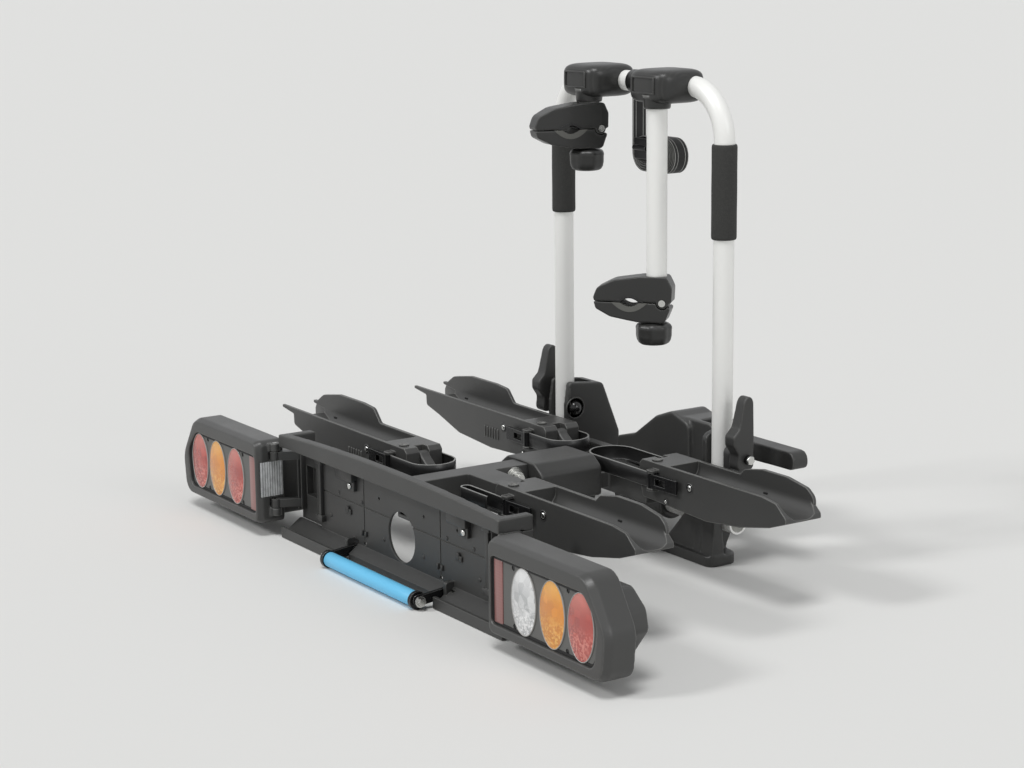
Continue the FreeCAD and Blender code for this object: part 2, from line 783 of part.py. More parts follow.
def make_tray(near_y, side):
    """Wheel tray, built on the right: trough with an open outer end, hump wall and hinge block."""
    far_y = near_y + tray_width
    inner_near = near_y + tray_wall
    inner_far = far_y - tray_far_wall
    end = TRAY_ENDS[side]
    body = plate(
        [(tray_start_x + 6, tray_top), (tray_start_x, tray_top - 6, 4), (tray_start_x, 12, 4),
         (tray_start_x + 8, -14, 4), (277, tray_keel, 30)] + end["wall"],
        "xz", near_y, far_y)
    hump = plate([(hump_start_x, tray_top - 11), (280, tray_top, 6)] + end["hump"], "xz", inner_far, far_y)
    section = plate(
        [(inner_near, tray_top + 50), (inner_near, tray_floor, trough_corner),
         (inner_far, tray_floor, trough_corner), (inner_far, tray_top + 50)],
        "yz", block_end_x, 520)
    above = plate([(block_end_x - 1, 100), (block_end_x - 1, tray_floor)] + end["floor"] + [(520, 100)],
                  "xz", near_y, far_y)
    trough = section.common(above)
    roof = tray_floor - tray_floor_thick
    under = plate(
        [(block_end_x, roof), (block_end_x, tray_keel - 10), (395, tray_keel - 10), (395, -7),
         (425, 7), (412, roof)],
        "xz", inner_near, far_y - tray_wall)
    well = box((pivot_x + lug_radius + 4, inner_near, tray_keel - 10),
               (block_end_x - 4, far_y - tray_wall, tray_top - 8))
    centre_y = near_y + tray_width / 2
    half = lug_width / 2 + slack
    fork = box((tray_start_x - 1, centre_y - half, tray_keel - 10),
               (pivot_x + lug_radius + 1.5, centre_y + half, tray_top + 10))
    bore = rod((pivot_x, inner_near + 5.7, pivot_z), (pivot_x, far_y - tray_wall - 5.7, pivot_z),
               pin_radius + running)
    drain = box((drain_x - 3, near_y + 12, 0), (drain_x + 3, near_y + 36, tray_top))
    cap = upright(cap_x, near_y + cap_inset, tray_top - 1.5, tray_top + 1, cap_radius)
    body = without(fused(body, hump), trough, under, well, fork, bore, drain, cap)
    pin_y = near_y - barrel_offset
    top = strap_low + strap_height
    lugs = []
    for low in (strap_low - ratchet_plate - seat_gap, top + seat_gap):
        lugs.append(plate(
            [(barrel_x - 7, near_y + 2), (barrel_x - 7, pin_y - 6, 5), (barrel_x + 7, pin_y - 6, 5),
             (barrel_x + 7, near_y + 2)],
            "xy", low, low + ratchet_plate))
    hole = upright(barrel_x, pin_y, strap_low - 10, top + 10, barrel_pin + running)
    return fused(body, *lugs).cut(hole)


def make_ratchet_lever(near_y):
    """Right-hand ratchet lever of a wheel strap with its barrel."""
    pin_y = near_y - barrel_offset
    top = strap_low + strap_height
    barrel = upright(barrel_x, pin_y, strap_low, top, barrel_radius)
    pin = upright(barrel_x, pin_y, strap_low - ratchet_plate, top + ratchet_plate, barrel_pin)
    handle = plate(
        [(barrel_x, pin_y - 4), (barrel_x + ratchet_length, pin_y - 1.5, 1),
         (barrel_x + ratchet_length, pin_y + 3, 1), (barrel_x, pin_y + 4)],
        "xy", strap_low + 1, top - 1)
    window = box((barrel_x + 12, pin_y - 8, strap_low + 6), (barrel_x + 34, pin_y + 8, top - 6))
    return fused(barrel, pin, handle).cut(window)


def strap_band(near_line, far_line, start_x, reach_x, end_x):
    """Band that runs inwards along one line, turns round and comes back along the other."""
    side = 1 if far_line > near_line else -1
    middle_y = (near_line + far_line) / 2
    radius = abs(far_line - near_line) / 2
    bend_x = reach_x + radius
    rails = []
    for offset in (strap_thick / 2, -strap_thick / 2):
        ring = radius + offset
        rails.append((
            Vector(start_x, middle_y - side * ring, strap_low),
            Vector(bend_x, middle_y - side * ring, strap_low),
            Vector(bend_x - ring, middle_y, strap_low),
            Vector(bend_x, middle_y + side * ring, strap_low),
            Vector(end_x, middle_y + side * ring, strap_low)))
    outer, inner = rails
    wire = Part.Wire([
        Part.LineSegment(outer[0], outer[1]).toShape(),
        Part.Arc(outer[1], outer[2], outer[3]).toShape(),
        Part.LineSegment(outer[3], outer[4]).toShape(),
        Part.LineSegment(outer[4], inner[4]).toShape(),
        Part.LineSegment(inner[4], inner[3]).toShape(),
        Part.Arc(inner[3], inner[2], inner[1]).toShape(),
        Part.LineSegment(inner[1], inner[0]).toShape(),
        Part.LineSegment(inner[0], outer[0]).toShape(),
    ])
    return Part.Face(wire).extrude(Z_AXIS * strap_height)


def make_wheel_strap(near_y, place):
    """Right-hand strap: it leaves the barrel and loops past the tray's inner end."""
    near_line = near_y - barrel_offset
    start_x = barrel_x - barrel_radius - seat_gap
    if place in loop_reach:
        far_line = near_y + tray_width + strap_thick / 2 + seat_gap
        return strap_band(near_line, far_line, start_x, loop_reach[place], tray_start_x + 24)
    return strap_band(near_line, near_line - tucked_width, start_x, tucked_reach, start_x - 20)


# Hoop and its levers

def hoop_path(low_z):
    """Centre line of the hoop from the left leg's end to the right leg's end."""
    corner = hoop_bend * (1 - math.sqrt(0.5))
    bend_z = bar_z - hoop_bend
    left = [Vector(-leg_x, hoop_y, low_z), Vector(-leg_x, hoop_y, bend_z),
            Vector(-leg_x + corner, hoop_y, bar_z - corner), Vector(-leg_x + hoop_bend, hoop_y, bar_z)]
    right = [Vector(-point.x, point.y, point.z) for point in left]
    return [
        Part.LineSegment(left[0], left[1]).toShape(),
        Part.Arc(left[1], left[2], left[3]).toShape(),
        Part.LineSegment(left[3], right[3]).toShape(),
        Part.Arc(right[3], right[2], right[1]).toShape(),
        Part.LineSegment(right[1], right[0]).toShape(),
    ]


def bent_bar(radius, low_z):
    """Solid U-shaped bar along the hoop's centre line."""
    ring = Part.Wire(Part.makeCircle(radius, Vector(-leg_x, hoop_y, low_z), Z_AXIS))
    return Part.Wire(hoop_path(low_z)).makePipeShell([ring], True, False)


def make_hoop_tube():
    """U of round tube, open at both ends, with the pivot bores."""
    tube = bent_bar(tube_radius, leg_end_z).cut(bent_bar(tube_radius - tube_wall, leg_end_z))
    return without(tube, hinge_bore(), mirrored(hinge_bore()))


def make_foam_grips():
    """Foam sleeves on both legs."""
    sleeve = upright(leg_x, hoop_y, foam_low, foam_high, foam_radius)
    return both_sides(sleeve.cut(upright(leg_x, hoop_y, foam_low - 1, foam_high + 1, tube_radius + running)))


def make_cam_lever():
    """Right-hand clamping lever of the hoop hinge."""
    y = hoop_y
    lever = plate(
        [(y - 18, 36, 8), (y + 12, 36, 8), (y + 12, 142, 11), (y - 12, 142, 11), (y - 16, 98, 6),
         (y - 25, 88, 4), (y - 25, 74, 6), (y - 16, 60, 6)],
        "yz", cam_inner_x, cam_outer_x)
    return lever.cut(hinge_bore())


# Bicycle arms

def make_knuckle(x):
    """Knuckle that swings on the hoop's bar and holds an arm tube below it."""
    arm_y = hoop_y - arm_reach
    collar = across(hoop_y, bar_z, x - collar_half, x + collar_half, collar_radius)
    socket = upright(x, arm_y, socket_low, socket_high, socket_radius)
    neck = box((x - socket_radius + 2, arm_y, socket_low + 4), (x + socket_radius - 2, hoop_y, socket_high - 2))
    bar = across(hoop_y, bar_z, x - collar_half - 1, x + collar_half + 1, tube_radius + running)
    seat = upright(x, arm_y, socket_low - 1, arm_tube_top + seat_gap, tube_radius + running)
    straight_end = leg_x - hoop_bend
    relief = across(hoop_y, bar_z, straight_end - 2, x + collar_half + 1, tube_radius + 2)
    knuckle = without(fused(collar, socket, neck), bar, seat)
    return knuckle.cut(relief) if x + collar_half > straight_end else knuckle


def make_arm_tube(x, jaw_z):
    """Tube between a knuckle and its clamp."""
    arm_y = hoop_y - arm_reach
    low = jaw_z + tube_seat + seat_gap
    return upright(x, arm_y, low, arm_tube_top, tube_radius).cut(
        upright(x, arm_y, low - 1, arm_tube_top + 1, tube_radius - tube_wall))


def put_on_arm(shape, side):
    """Move a clamp piece from its own frame to its arm."""
    x, jaw_z, yaw = arm_places[side]
    shape = shape.copy()
    shape.rotate(Vector(0, 0, 0), Z_AXIS, -90 + yaw)
    shape.translate(Vector(x, hoop_y - arm_reach, jaw_z))
    return shape


def clamp_pin_bar(start, end, radius):
    """Bar on the clamp's hinge axis."""
    return rod((hinge_s, start, 0), (hinge_s, end, 0), radius)


def make_clamp_head():
    """Upper half of a clamp, which turns on the arm tube."""
    head = plate(
        [(-24, 0), (-25, 22, 10), (-17, head_top, 6), (20, head_top, 8), (62, 32, 30), (86, 20, 12),
         (nose_length, 5, 4), (nose_length - 2, 0)],
        "xz", -head_half, head_half)
    disc = clamp_pin_bar(-head_half, head_half, knuckle_disc)
    return without(
        fused(head, disc),
        clamp_pin_bar(-tongue_half - slack, tongue_half + slack, knuckle_disc + slack),
        clamp_pin_bar(-head_half - 1, head_half + 1, clamp_pin + running),
        segment((eye_centre, -0.01), eye_half, eye_rise, -head_half - 1, head_half + 1),
        upright(0, 0, tube_seat, head_top + 1, tube_radius + running),
        box((thread_s - thread_radius - 2, -thread_radius - 1, -1),
            (thread_s + thread_radius + 8, thread_radius + 1, thread_top + 4)))


def make_clamp_jaw():
    """Lower half of a clamp, which opens downwards."""
    top = -0.8
    jaw = plate(
        [(-23, -8, 3), (-14, jaw_bottom, 8), (26, jaw_bottom + 1, 14), (66, -22, 20), (88, -11, 6),
         (nose_length - 1, top), (-4, top)],
        "xz", -head_half, head_half)
    disc = clamp_pin_bar(-tongue_half, tongue_half, knuckle_disc)
    clear = knuckle_disc + slack
    solid = without(
        jaw,
        clamp_pin_bar(-head_half - 1, -tongue_half - slack / 2, clear),
        clamp_pin_bar(tongue_half + slack / 2, head_half + 1, clear))
    return without(
        fused(solid, disc),
        clamp_pin_bar(-head_half - 1, head_half + 1, clamp_pin + running),
        segment((eye_centre, top + 0.01), eye_half, -eye_drop, -head_half - 1, head_half + 1),
        upright(thread_s, 0, jaw_bottom - 1, 1, thread_radius + running))


def make_jaw_pad():
    """Rubber lining of the lower jaw's hollow."""
    top = -0.8
    half = head_half - 2
    lining = segment((eye_centre, top), eye_half - slack, -eye_drop + seat_gap, -half, half)
    return lining.cut(segment((eye_centre, top + 0.01), eye_half - pad_thick - 1, -eye_drop + pad_thick,
                              -half - 1, half + 1))


def make_clamp_pivot():
    """Bolt of the clamp's hinge, with a flat head on both faces."""
    end = head_half + seat_gap
    return fused(clamp_pin_bar(-end - 1.5, end + 1.5, clamp_pin), clamp_pin_bar(-end - 2, -end, 5),
                 clamp_pin_bar(end, end + 2, 5))


def make_clamp_knob():
    """Round knob with finger hollows and its screw."""
    top = jaw_bottom - seat_gap
    low = top - knob_height
    knob = upright(thread_s, 0, low, top - 5, knob_radius)
    neck = upright(thread_s, 0, top - 6, top, 11)
    hollows = []
    for index in range(knob_lobes):
        turn = math.radians(360 / knob_lobes * index)
        reach = knob_radius + 5
        hollows.append(upright(thread_s + reach * math.cos(turn), reach * math.sin(turn), low - 1, top, 7))
    screw = upright(thread_s, 0, top - 6, thread_top, thread_radius)
    return fused(without(knob, *hollows), neck, screw)


# Securing strap

def half_turns(extra):
    """Start, middle and end of each half turn of the roll, from the core outwards."""
    step = coil_pitch / 2
    places = []
    for turn in range(2 * coil_turns):
        side = 1 if turn % 2 == 0 else -1
        radius = coil_core + turn * step + extra
        centre = Vector(coil_x + side * coil_length / 2, hoop_y - coil_width / 2, coil_z - side * step / 2)
        rise = Vector(0, 0, radius)
        places.append((centre + rise * side, centre + X_AXIS * (side * radius), centre - rise * side))
    return places


def last_quarter(places, bar_bottom):
    """The roll's outer end: a quarter turn up to its left side and the riser to the bar."""
    start, leftmost, end = places[-1]
    centre = (start + end) * 0.5
    slant = (start - centre).Length * math.sqrt(0.5)
    riser = Vector(leftmost.x, leftmost.y, bar_bottom)
    return start, centre + Vector(-slant, 0, -slant), leftmost, riser


def make_securing_strap():
    """Webbing: a spiral oval roll whose outer end rises to a loop sewn round the bar."""
    outer = half_turns(coil_thick / 2)
    inner = half_turns(-coil_thick / 2)
    inner_radius = tube_radius + seat_gap
    riser_top = bar_z - inner_radius - loop_thick / 2
    far = last_quarter(outer, riser_top)
    near = last_quarter(inner, riser_top)
    edges = []
    for index in range(len(outer) - 1):
        edges.append(Part.Arc(*outer[index]).toShape())
        edges.append(Part.LineSegment(outer[index][2], outer[index + 1][0]).toShape())
    edges.append(Part.Arc(*far[:3]).toShape())
    for one, two in ((far[2], far[3]), (far[3], near[3]), (near[3], near[2])):
        edges.append(Part.LineSegment(one, two).toShape())
    edges.append(Part.Arc(near[2], near[1], near[0]).toShape())
    for index in range(len(inner) - 2, -1, -1):
        start, middle, end = inner[index]
        edges.append(Part.LineSegment(inner[index + 1][0], end).toShape())
        edges.append(Part.Arc(end, middle, start).toShape())
    edges.append(Part.LineSegment(inner[0][0], outer[0][0]).toShape())
    roll = Part.Face(Part.Wire(edges)).extrude(Y_AXIS * coil_width)
    riser_x = (far[2].x + near[2].x) / 2
    half = coil_width / 2
    loop = across(hoop_y, bar_z, riser_x - half, riser_x + half, inner_radius + loop_thick)
    loop = loop.cut(across(hoop_y, bar_z, riser_x - half - 1, riser_x + half + 1, inner_radius))
    return fused(roll, loop)


def print_strap_gap():
    """Least gap of the roll to itself, measured on points of its centre line."""
    points = []
    for index, (start, middle, end) in enumerate(half_turns(0)):
        centre = (start + end) * 0.5
        reach = middle - centre
        rise = start - centre
        for step in range(25):
            turn = math.pi * step / 24
            points.append((index + step / 25, centre + reach * math.sin(turn) + rise * math.cos(turn)))
    least = min((one - two).Length for place, one in points for other, two in points if other - place > 1.5)
    print("least gap of the securing strap to itself, mm:", round(least - coil_thick, 2))


def make_cam_buckle():
    """Metal cam buckle on the outer face of the roll."""
    front = hoop_y - coil_width / 2 - seat_gap
    low_x = coil_x - 40
    frame = box((low_x, front - 5, coil_z - 8), (low_x + 32, front, coil_z + 22))
    window = box((low_x + 4, front - 3, coil_z - 3), (low_x + 28, front + 1, coil_z + 17))
    cam = rod((low_x + 1, front - 6, coil_z + 8), (low_x + 31, front - 6, coil_z + 8), 4)
    return fused(frame.cut(window), cam)


# Coupling

def make_coupling_housing():
    """Coupling: hood over the tow ball, shoulder with the lever's slot, and axle sleeve."""
    hood = plate(
        [(-124, coupling_low, 4), (60, coupling_low), (57, 61, 14), (15, 74, 20), (-24, 60, 16),
         (-79, 22, 10), (-124, 10, 4)],
        "xz", cover_front_y, 8)
    shoulder = plate(
        [(30, coupling_low), (114, coupling_low, 4), (114, 60, 8), (96, 68, 8), (30, 68)],
        "xz", cover_front_y + 8, lever_front_y + lever_width + 16)
    cup = plate(
        [(-cup_half, coupling_low), (cup_half, coupling_low), (cup_half, cup_top, 10), (-cup_half, cup_top, 10)],
        "xz", 0, cup_rear_y)
    sleeve = across(axle_y, axle_z, -sleeve_half, sleeve_half, sleeve_radius)
    web = box((-sleeve_half, axle_y, axle_z - 15), (sleeve_half, cover_front_y + 8, -5))
    lever_rear = lever_front_y + lever_width
    slot = box((lever_x - 28, lever_front_y - slack, lever_z - 26), (130, lever_rear + slack, 90))
    pin = rod((lever_x, cover_front_y + 12, lever_z), (lever_x, lever_rear + 8, lever_z), pin_radius + running)
    socket = Part.makeSphere(ball_radius + seat_gap)
    mouth = upright(0, 0, coupling_low - 1, 0, ball_radius + seat_gap)
    pocket = box((-jaw_half - slack, 0, -jaw_half - slack),
                 (jaw_half + slack, ball_radius + jaw_depth + jaw_travel + slack, jaw_half + slack))
    axle = across(axle_y, axle_z, -sleeve_half - 1, sleeve_half + 1, axle_radius + running)
    return without(fused(hood, shoulder, cup, sleeve, web), slot, pin, socket, mouth, pocket, axle)


def make_coupling_lever():
    """Lever of the coupling with its pivot pin."""
    low = lever_z - lever_height / 2
    high = lever_z + lever_height / 2
    front = lever_front_y
    rear = lever_front_y + lever_width
    bar = plate(
        [(lever_x - 17, low, 13), (lever_end_x, low + 2, 9), (lever_end_x, high, 13), (lever_x - 17, high, 13)],
        "xz", front, rear)
    pin = rod((lever_x, front - 4, lever_z), (lever_x, rear + 7, lever_z), pin_radius)
    return fused(bar, pin)


def make_ball_jaw():
    """Jaw that presses on the rear of the tow ball."""
    block = box((-jaw_half, 10, -jaw_half), (jaw_half, ball_radius + jaw_depth, jaw_half))
    return without(
        block, Part.makeSphere(ball_radius + seat_gap), upright(0, 0, -30, 0, ball_radius + seat_gap))


# Release pedal

def make_pedal_frame():
    """Rod, two flanges and two arms of the release pedal."""
    flange_x = pedal_half
    arm_x = pedal_half + flange_thick
    rod_bar = across(pedal_y, pedal_z, -arm_x, arm_x, pedal_rod)
    flange = across(pedal_y, pedal_z, flange_x, arm_x, flange_radius)
    half = pedal_arm_half
    arm = plate(
        [(pedal_y - half, pedal_z - half, 6), (pedal_pivot_y + half, pedal_pivot_z - half, 6),
         (pedal_pivot_y + half, pedal_pivot_z + half, 6), (pedal_y - half, pedal_z + half, 6)],
        "yz", arm_x, arm_x + pedal_arm)
    arm = arm.cut(across(pedal_pivot_y, pedal_pivot_z, arm_x - 1, arm_x + pedal_arm + 1, pin_radius + running))
    return fused(rod_bar, flange, arm, mirrored(flange), mirrored(arm))


def make_pedal_grip():
    """Round grip on the pedal's rod."""
    half = pedal_half - seat_gap
    return across(pedal_y, pedal_z, -half, half, grip_radius).cut(
        across(pedal_y, pedal_z, -half - 1, half + 1, pedal_rod + running))


def make_pedal_bolts():
    """Bolt heads at both ends of the pedal's rod."""
    face = pedal_half + flange_thick + pedal_arm + seat_gap
    washer = across(pedal_y, pedal_z, face, face + 2, 8)
    head = plate(
        [(pedal_y + 6 * math.cos(math.radians(60 * index)), pedal_z + 6 * math.sin(math.radians(60 * index)))
         for index in range(6)],
        "yz", face + 1.5, face + 7)
    return both_sides(fused(washer, head))


def collect():
    """Every sub-part under its name."""
    parts = {
        "main_frame": make_main_frame(),
        "latch_cover": make_latch_cover(),
        "foot_right": make_foot(),
        "foot_left": mirrored(make_foot()),
        "axle_tube": make_axle(),
        "hinge_housing_left": make_hinge_housing_left(),
        "hinge_bracket_right": make_hinge_bracket_right(),
        "hoop_bolts": make_hoop_bolts(),
        "top_rail": make_top_rail(),
        "plate_board": make_plate_board(),
        "wing_bracket_right": make_wing_bracket(),
        "wing_bracket_left": mirrored(make_wing_bracket()),
        "frame_pins": make_frame_pins(),
        "hoop_tube": make_hoop_tube(),
        "foam_grips": make_foam_grips(),
        "cam_lever_right": make_cam_lever(),
        "cam_lever_left": mirrored(make_cam_lever()),
        "securing_strap": make_securing_strap(),
        "cam_buckle": make_cam_buckle(),
        "coupling_housing": make_coupling_housing(),
        "coupling_lever": make_coupling_lever(),
        "ball_jaw": make_ball_jaw(),
        "pedal_frame": make_pedal_frame(),
        "pedal_grip": make_pedal_grip(),
        "pedal_bolts": make_pedal_bolts(),
        "plate_lamp": plate_lamp_block(0),
    }
    housing = make_lamp_housing()
    parts["lamp_housing_right"] = housing
    parts["lamp_housing_left"] = mirrored(housing).cut(plate_lamp_block(seat_gap))
    for name, shape in (("lens_panel", make_lens_panel()), ("lamp_lenses", make_lenses()),
                        ("panel_screws", make_panel_screws())):
        parts[name + "_right"] = shape
        parts[name + "_left"] = mirrored(shape)
    for row, near_y in tray_rows():
        for side, turn in (("right", lambda shape: shape), ("left", mirrored)):
            place = row + "_" + side
            parts["tray_" + place] = turn(make_tray(near_y, side))
            parts["ratchet_lever_" + place] = turn(make_ratchet_lever(near_y))
            parts["wheel_strap_" + place] = turn(make_wheel_strap(near_y, place))
    for side, (x, jaw_z, yaw) in arm_places.items():
        parts["knuckle_" + side] = make_knuckle(x)
        parts["arm_tube_" + side] = make_arm_tube(x, jaw_z)
        for name, make in (("clamp_head", make_clamp_head), ("clamp_jaw", make_clamp_jaw),
                           ("jaw_pad", make_jaw_pad), ("clamp_pivot", make_clamp_pivot),
                           ("clamp_knob", make_clamp_knob)):
            parts[name + "_" + side] = put_on_arm(make(), side)
    return parts


os.makedirs("parts", exist_ok=True)
for name, shape in collect().items():
    shape.exportStep("parts/" + name + ".step")
print_strap_gap()
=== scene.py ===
import json
import math

import bpy
import numpy
from mathutils import Matrix, Vector


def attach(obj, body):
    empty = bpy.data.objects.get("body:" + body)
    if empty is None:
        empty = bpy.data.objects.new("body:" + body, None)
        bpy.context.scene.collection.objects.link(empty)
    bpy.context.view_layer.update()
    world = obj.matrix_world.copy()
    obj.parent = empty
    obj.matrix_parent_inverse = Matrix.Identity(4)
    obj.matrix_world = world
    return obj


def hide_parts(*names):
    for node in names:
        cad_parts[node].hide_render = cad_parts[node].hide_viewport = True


# A folding carrier for two bicycles on a car's tow ball: dark moulded plastic and coated steel,
# with an upright hoop of satin aluminium tube. Metres, +X to the right behind the car, +Z up.

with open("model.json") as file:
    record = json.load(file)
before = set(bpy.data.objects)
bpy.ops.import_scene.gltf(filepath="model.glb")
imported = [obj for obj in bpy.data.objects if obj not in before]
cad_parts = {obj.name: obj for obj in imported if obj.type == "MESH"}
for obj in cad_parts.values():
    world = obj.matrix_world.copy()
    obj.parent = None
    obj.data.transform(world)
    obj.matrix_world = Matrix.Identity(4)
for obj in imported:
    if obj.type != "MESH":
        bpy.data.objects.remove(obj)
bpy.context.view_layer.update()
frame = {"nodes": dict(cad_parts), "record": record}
nodes = frame["nodes"]
body_of = {}
for body, members in frame["record"]["behaviour"]["bodies"].items():
    for member in members:
        body_of[member] = body
scene = bpy.context.scene
scene.view_settings.view_transform = "Standard"

# Camera
# A long lens more than three metres away, outside the right-hand lamp and a little above it.
# Its turn, tilt and roll are those of the photograph. The focal length is in picture widths.

eye = Vector((2.640246, -2.072343, 0.804125))
turn = 0.98892
tilt = 0.204887
roll = -0.01072
sensor_width = 36
focal_width = 2227.73 / 1024

ahead = Vector((-math.sin(turn) * math.cos(tilt), math.cos(turn) * math.cos(tilt), -math.sin(tilt)))
level = Vector((math.cos(turn), math.sin(turn), 0))
upward = level.cross(ahead)
across = level * math.cos(roll) + upward * math.sin(roll)
upward = upward * math.cos(roll) - level * math.sin(roll)
camera_data = bpy.data.cameras.new("camera")
camera_data.sensor_width = sensor_width
camera_data.lens = sensor_width * focal_width
camera_data.clip_end = 200
camera = bpy.data.objects.new("camera", camera_data)
camera.matrix_world = Matrix.Translation(eye) @ Matrix((across, upward, -ahead)).transposed().to_4x4()
scene.collection.objects.link(camera)
scene.camera = camera

# Studio floor and light
# A wide matt floor of pale paint under an even sky, with one broad lamp overhead and
# weaker ones from the right and the front, so that black plastic keeps its edges.

rest_z = -0.117
reach = 60
sky_strength = 0.33
seen_strength = 0.78
lamps = (
    ("high_light", (0.25, -0.3, 1.0), 1.35, 20),
    ("side_light", (1.0, 0.15, 0.45), 0.45, 25),
    ("front_light", (-0.3, -1.0, 0.8), 0.95, 12))


def colour(code):
    """Linear colour of an sRGB hex code."""
    parts = [int(code[place:place + 2], 16) / 255 for place in (1, 3, 5)]
    return tuple(c / 12.92 if c <= 0.04045 else ((c + 0.055) / 1.055) ** 2.4 for c in parts) + (1.0,)


def add(tree, kind, settings=None, links=None):
    """A node with its settings and its links."""
    node = tree.nodes.new(kind)
    for name, value in (settings or {}).items():
        if isinstance(name, int) or name in node.inputs:
            node.inputs[name].default_value = value
        else:
            setattr(node, name, value)
    for name, socket in (links or {}).items():
        tree.links.new(socket, node.inputs[name])
    return node


def new_material(name, code, settings):
    """A material with one shader of a colour and settings."""
    material = bpy.data.materials.new(name)
    material.use_nodes = True
    shader = material.node_tree.nodes["Principled BSDF"]
    shader.inputs["Base Color"].default_value = colour(code)
    for key, value in settings.items():
        shader.inputs[key].default_value = value
    return material, material.node_tree, shader


def shape_from(name, points, faces, material):
    """An object made of points and faces."""
    mesh = bpy.data.meshes.new(name)
    mesh.from_pydata(points, [], faces)
    mesh.validate()
    piece = bpy.data.objects.new(name, mesh)
    piece.data.materials.append(material)
    scene.collection.objects.link(piece)
    return piece


floor_paint = new_material("matt_floor_paint", "#e4e4e2", {"Roughness": 0.9})[0]
floor_corners = [(reach * x, reach * y, rest_z) for x, y in ((-1, -1), (1, -1), (1, 1), (-1, 1))]
floor = shape_from("floor", floor_corners, [(0, 1, 2, 3)], floor_paint)

world = bpy.data.worlds.new("studio")
world.use_nodes = True
sky = world.node_tree.nodes["Background"]
sky.inputs["Color"].default_value = colour("#f4f5f6")
sky.inputs["Strength"].default_value = sky_strength
rays = add(world.node_tree, "ShaderNodeLightPath")
seen = add(world.node_tree, "ShaderNodeMath", {"operation": "MAXIMUM"},
           {0: rays.outputs["Is Camera Ray"], 1: rays.outputs["Is Glossy Ray"]})
through = add(world.node_tree, "ShaderNodeMath", {"operation": "MAXIMUM"},
              {0: seen.outputs[0], 1: rays.outputs["Is Transmission Ray"]})
glow = add(world.node_tree, "ShaderNodeMapRange", {"To Min": sky_strength, "To Max": seen_strength},
           {"Value": through.outputs[0]})
world.node_tree.links.new(glow.outputs["Result"], sky.inputs["Strength"])
scene.world = world

for name, towards, strength, spread in lamps:
    lamp_data = bpy.data.lights.new(name, "SUN")
    lamp_data.energy = strength
    lamp_data.angle = math.radians(spread)
    lamp = bpy.data.objects.new(name, lamp_data)
    lamp.rotation_euler = Vector(towards).to_track_quat("Z", "Y").to_euler()
    scene.collection.objects.link(lamp)

# Main frame: spine, cross beams and crossmember
# Welded steel box section with a satin grey powder coat, which has a fine orange peel and is painted lighter
# along its edges, partly as wear and partly as a highlight.

# Share by which edges and corners are painted lighter, partly as wear and partly as a highlight.
edge_wear_and_highlight_share = 0.6
flat_rise = 0.08
corner_rise = 0.30


def worn_and_highlighted_edges(tree, shader, base, edge_wear_and_highlight, width):
    """Colour that turns lighter along the outer edges: partly wear from handling, partly painted highlight.
    """
    rounded = add(tree, "ShaderNodeBevel", {"samples": 6, "Radius": width})
    face = add(tree, "ShaderNodeNewGeometry")
    likeness = add(tree, "ShaderNodeVectorMath", {"operation": "DOT_PRODUCT"},
                   {0: rounded.outputs["Normal"], 1: face.outputs["True Normal"]})
    ramp = add(tree, "ShaderNodeMapRange", {"From Min": 0.995, "From Max": 0.82},
               {"Value": likeness.outputs["Value"]})
    corner = add(tree, "ShaderNodeAttribute", {"attribute_name": "corner"})
    edge_wear_and_highlight_mask = add(tree, "ShaderNodeMath", {"operation": "MAXIMUM"},
                 {0: ramp.outputs["Result"], 1: corner.outputs["Fac"]})
    share = add(tree, "ShaderNodeMath", {"operation": "MULTIPLY", 1: edge_wear_and_highlight_share}, {0: edge_wear_and_highlight_mask.outputs[0]})
    mix = add(tree, "ShaderNodeMix", {"data_type": "RGBA", 6: colour(base), 7: colour(edge_wear_and_highlight)},
              {0: share.outputs[0]})
    tree.links.new(mix.outputs[2], shader.inputs["Base Color"])
    return rounded


def grain(tree, shader, size, height, rounded=None):
    """Fine bumps of a real size in metres, on top of rounded edges if there are any."""
    where = add(tree, "ShaderNodeTexCoord")
    noise = add(tree, "ShaderNodeTexNoise", {"Scale": 1 / size, "Detail": 2.0, "Roughness": 0.55},
                {"Vector": where.outputs["Object"]})
    bump = add(tree, "ShaderNodeBump", {"Strength": 0.35, "Distance": height},
               {"Height": noise.outputs["Fac"]})
    if rounded:
        tree.links.new(rounded.outputs["Normal"], bump.inputs["Normal"])
    tree.links.new(bump.outputs["Normal"], shader.inputs["Normal"])
    return noise, where


def coated(name, base, edge_wear_and_highlight, roughness, size, height, width=0.0016, settings=None):
    """A dark finish with grain, soft edges and slightly lighter corners, partly wear and partly painted
    highlight.
    """
    material, tree, shader = new_material(name, base, {"Roughness": roughness, **(settings or {})})
    rounded = worn_and_highlighted_edges(tree, shader, base, edge_wear_and_highlight, width)
    where = grain(tree, shader, size, height, rounded)[1]
    cloud = add(tree, "ShaderNodeTexNoise", {"Scale": 14.0, "Detail": 3.0},
                {"Vector": where.outputs["Object"]})
    rough = add(tree, "ShaderNodeMapRange", {"To Min": roughness - 0.07, "To Max": roughness + 0.09},
                {"Value": cloud.outputs["Fac"]})
    tree.links.new(rough.outputs["Result"], shader.inputs["Roughness"])
    return material


def finish_node(node, material):
    """The CAD solid keeps its shape and gets a finish."""
    slots = nodes[node].data.materials
    slots.clear()
    slots.append(material)


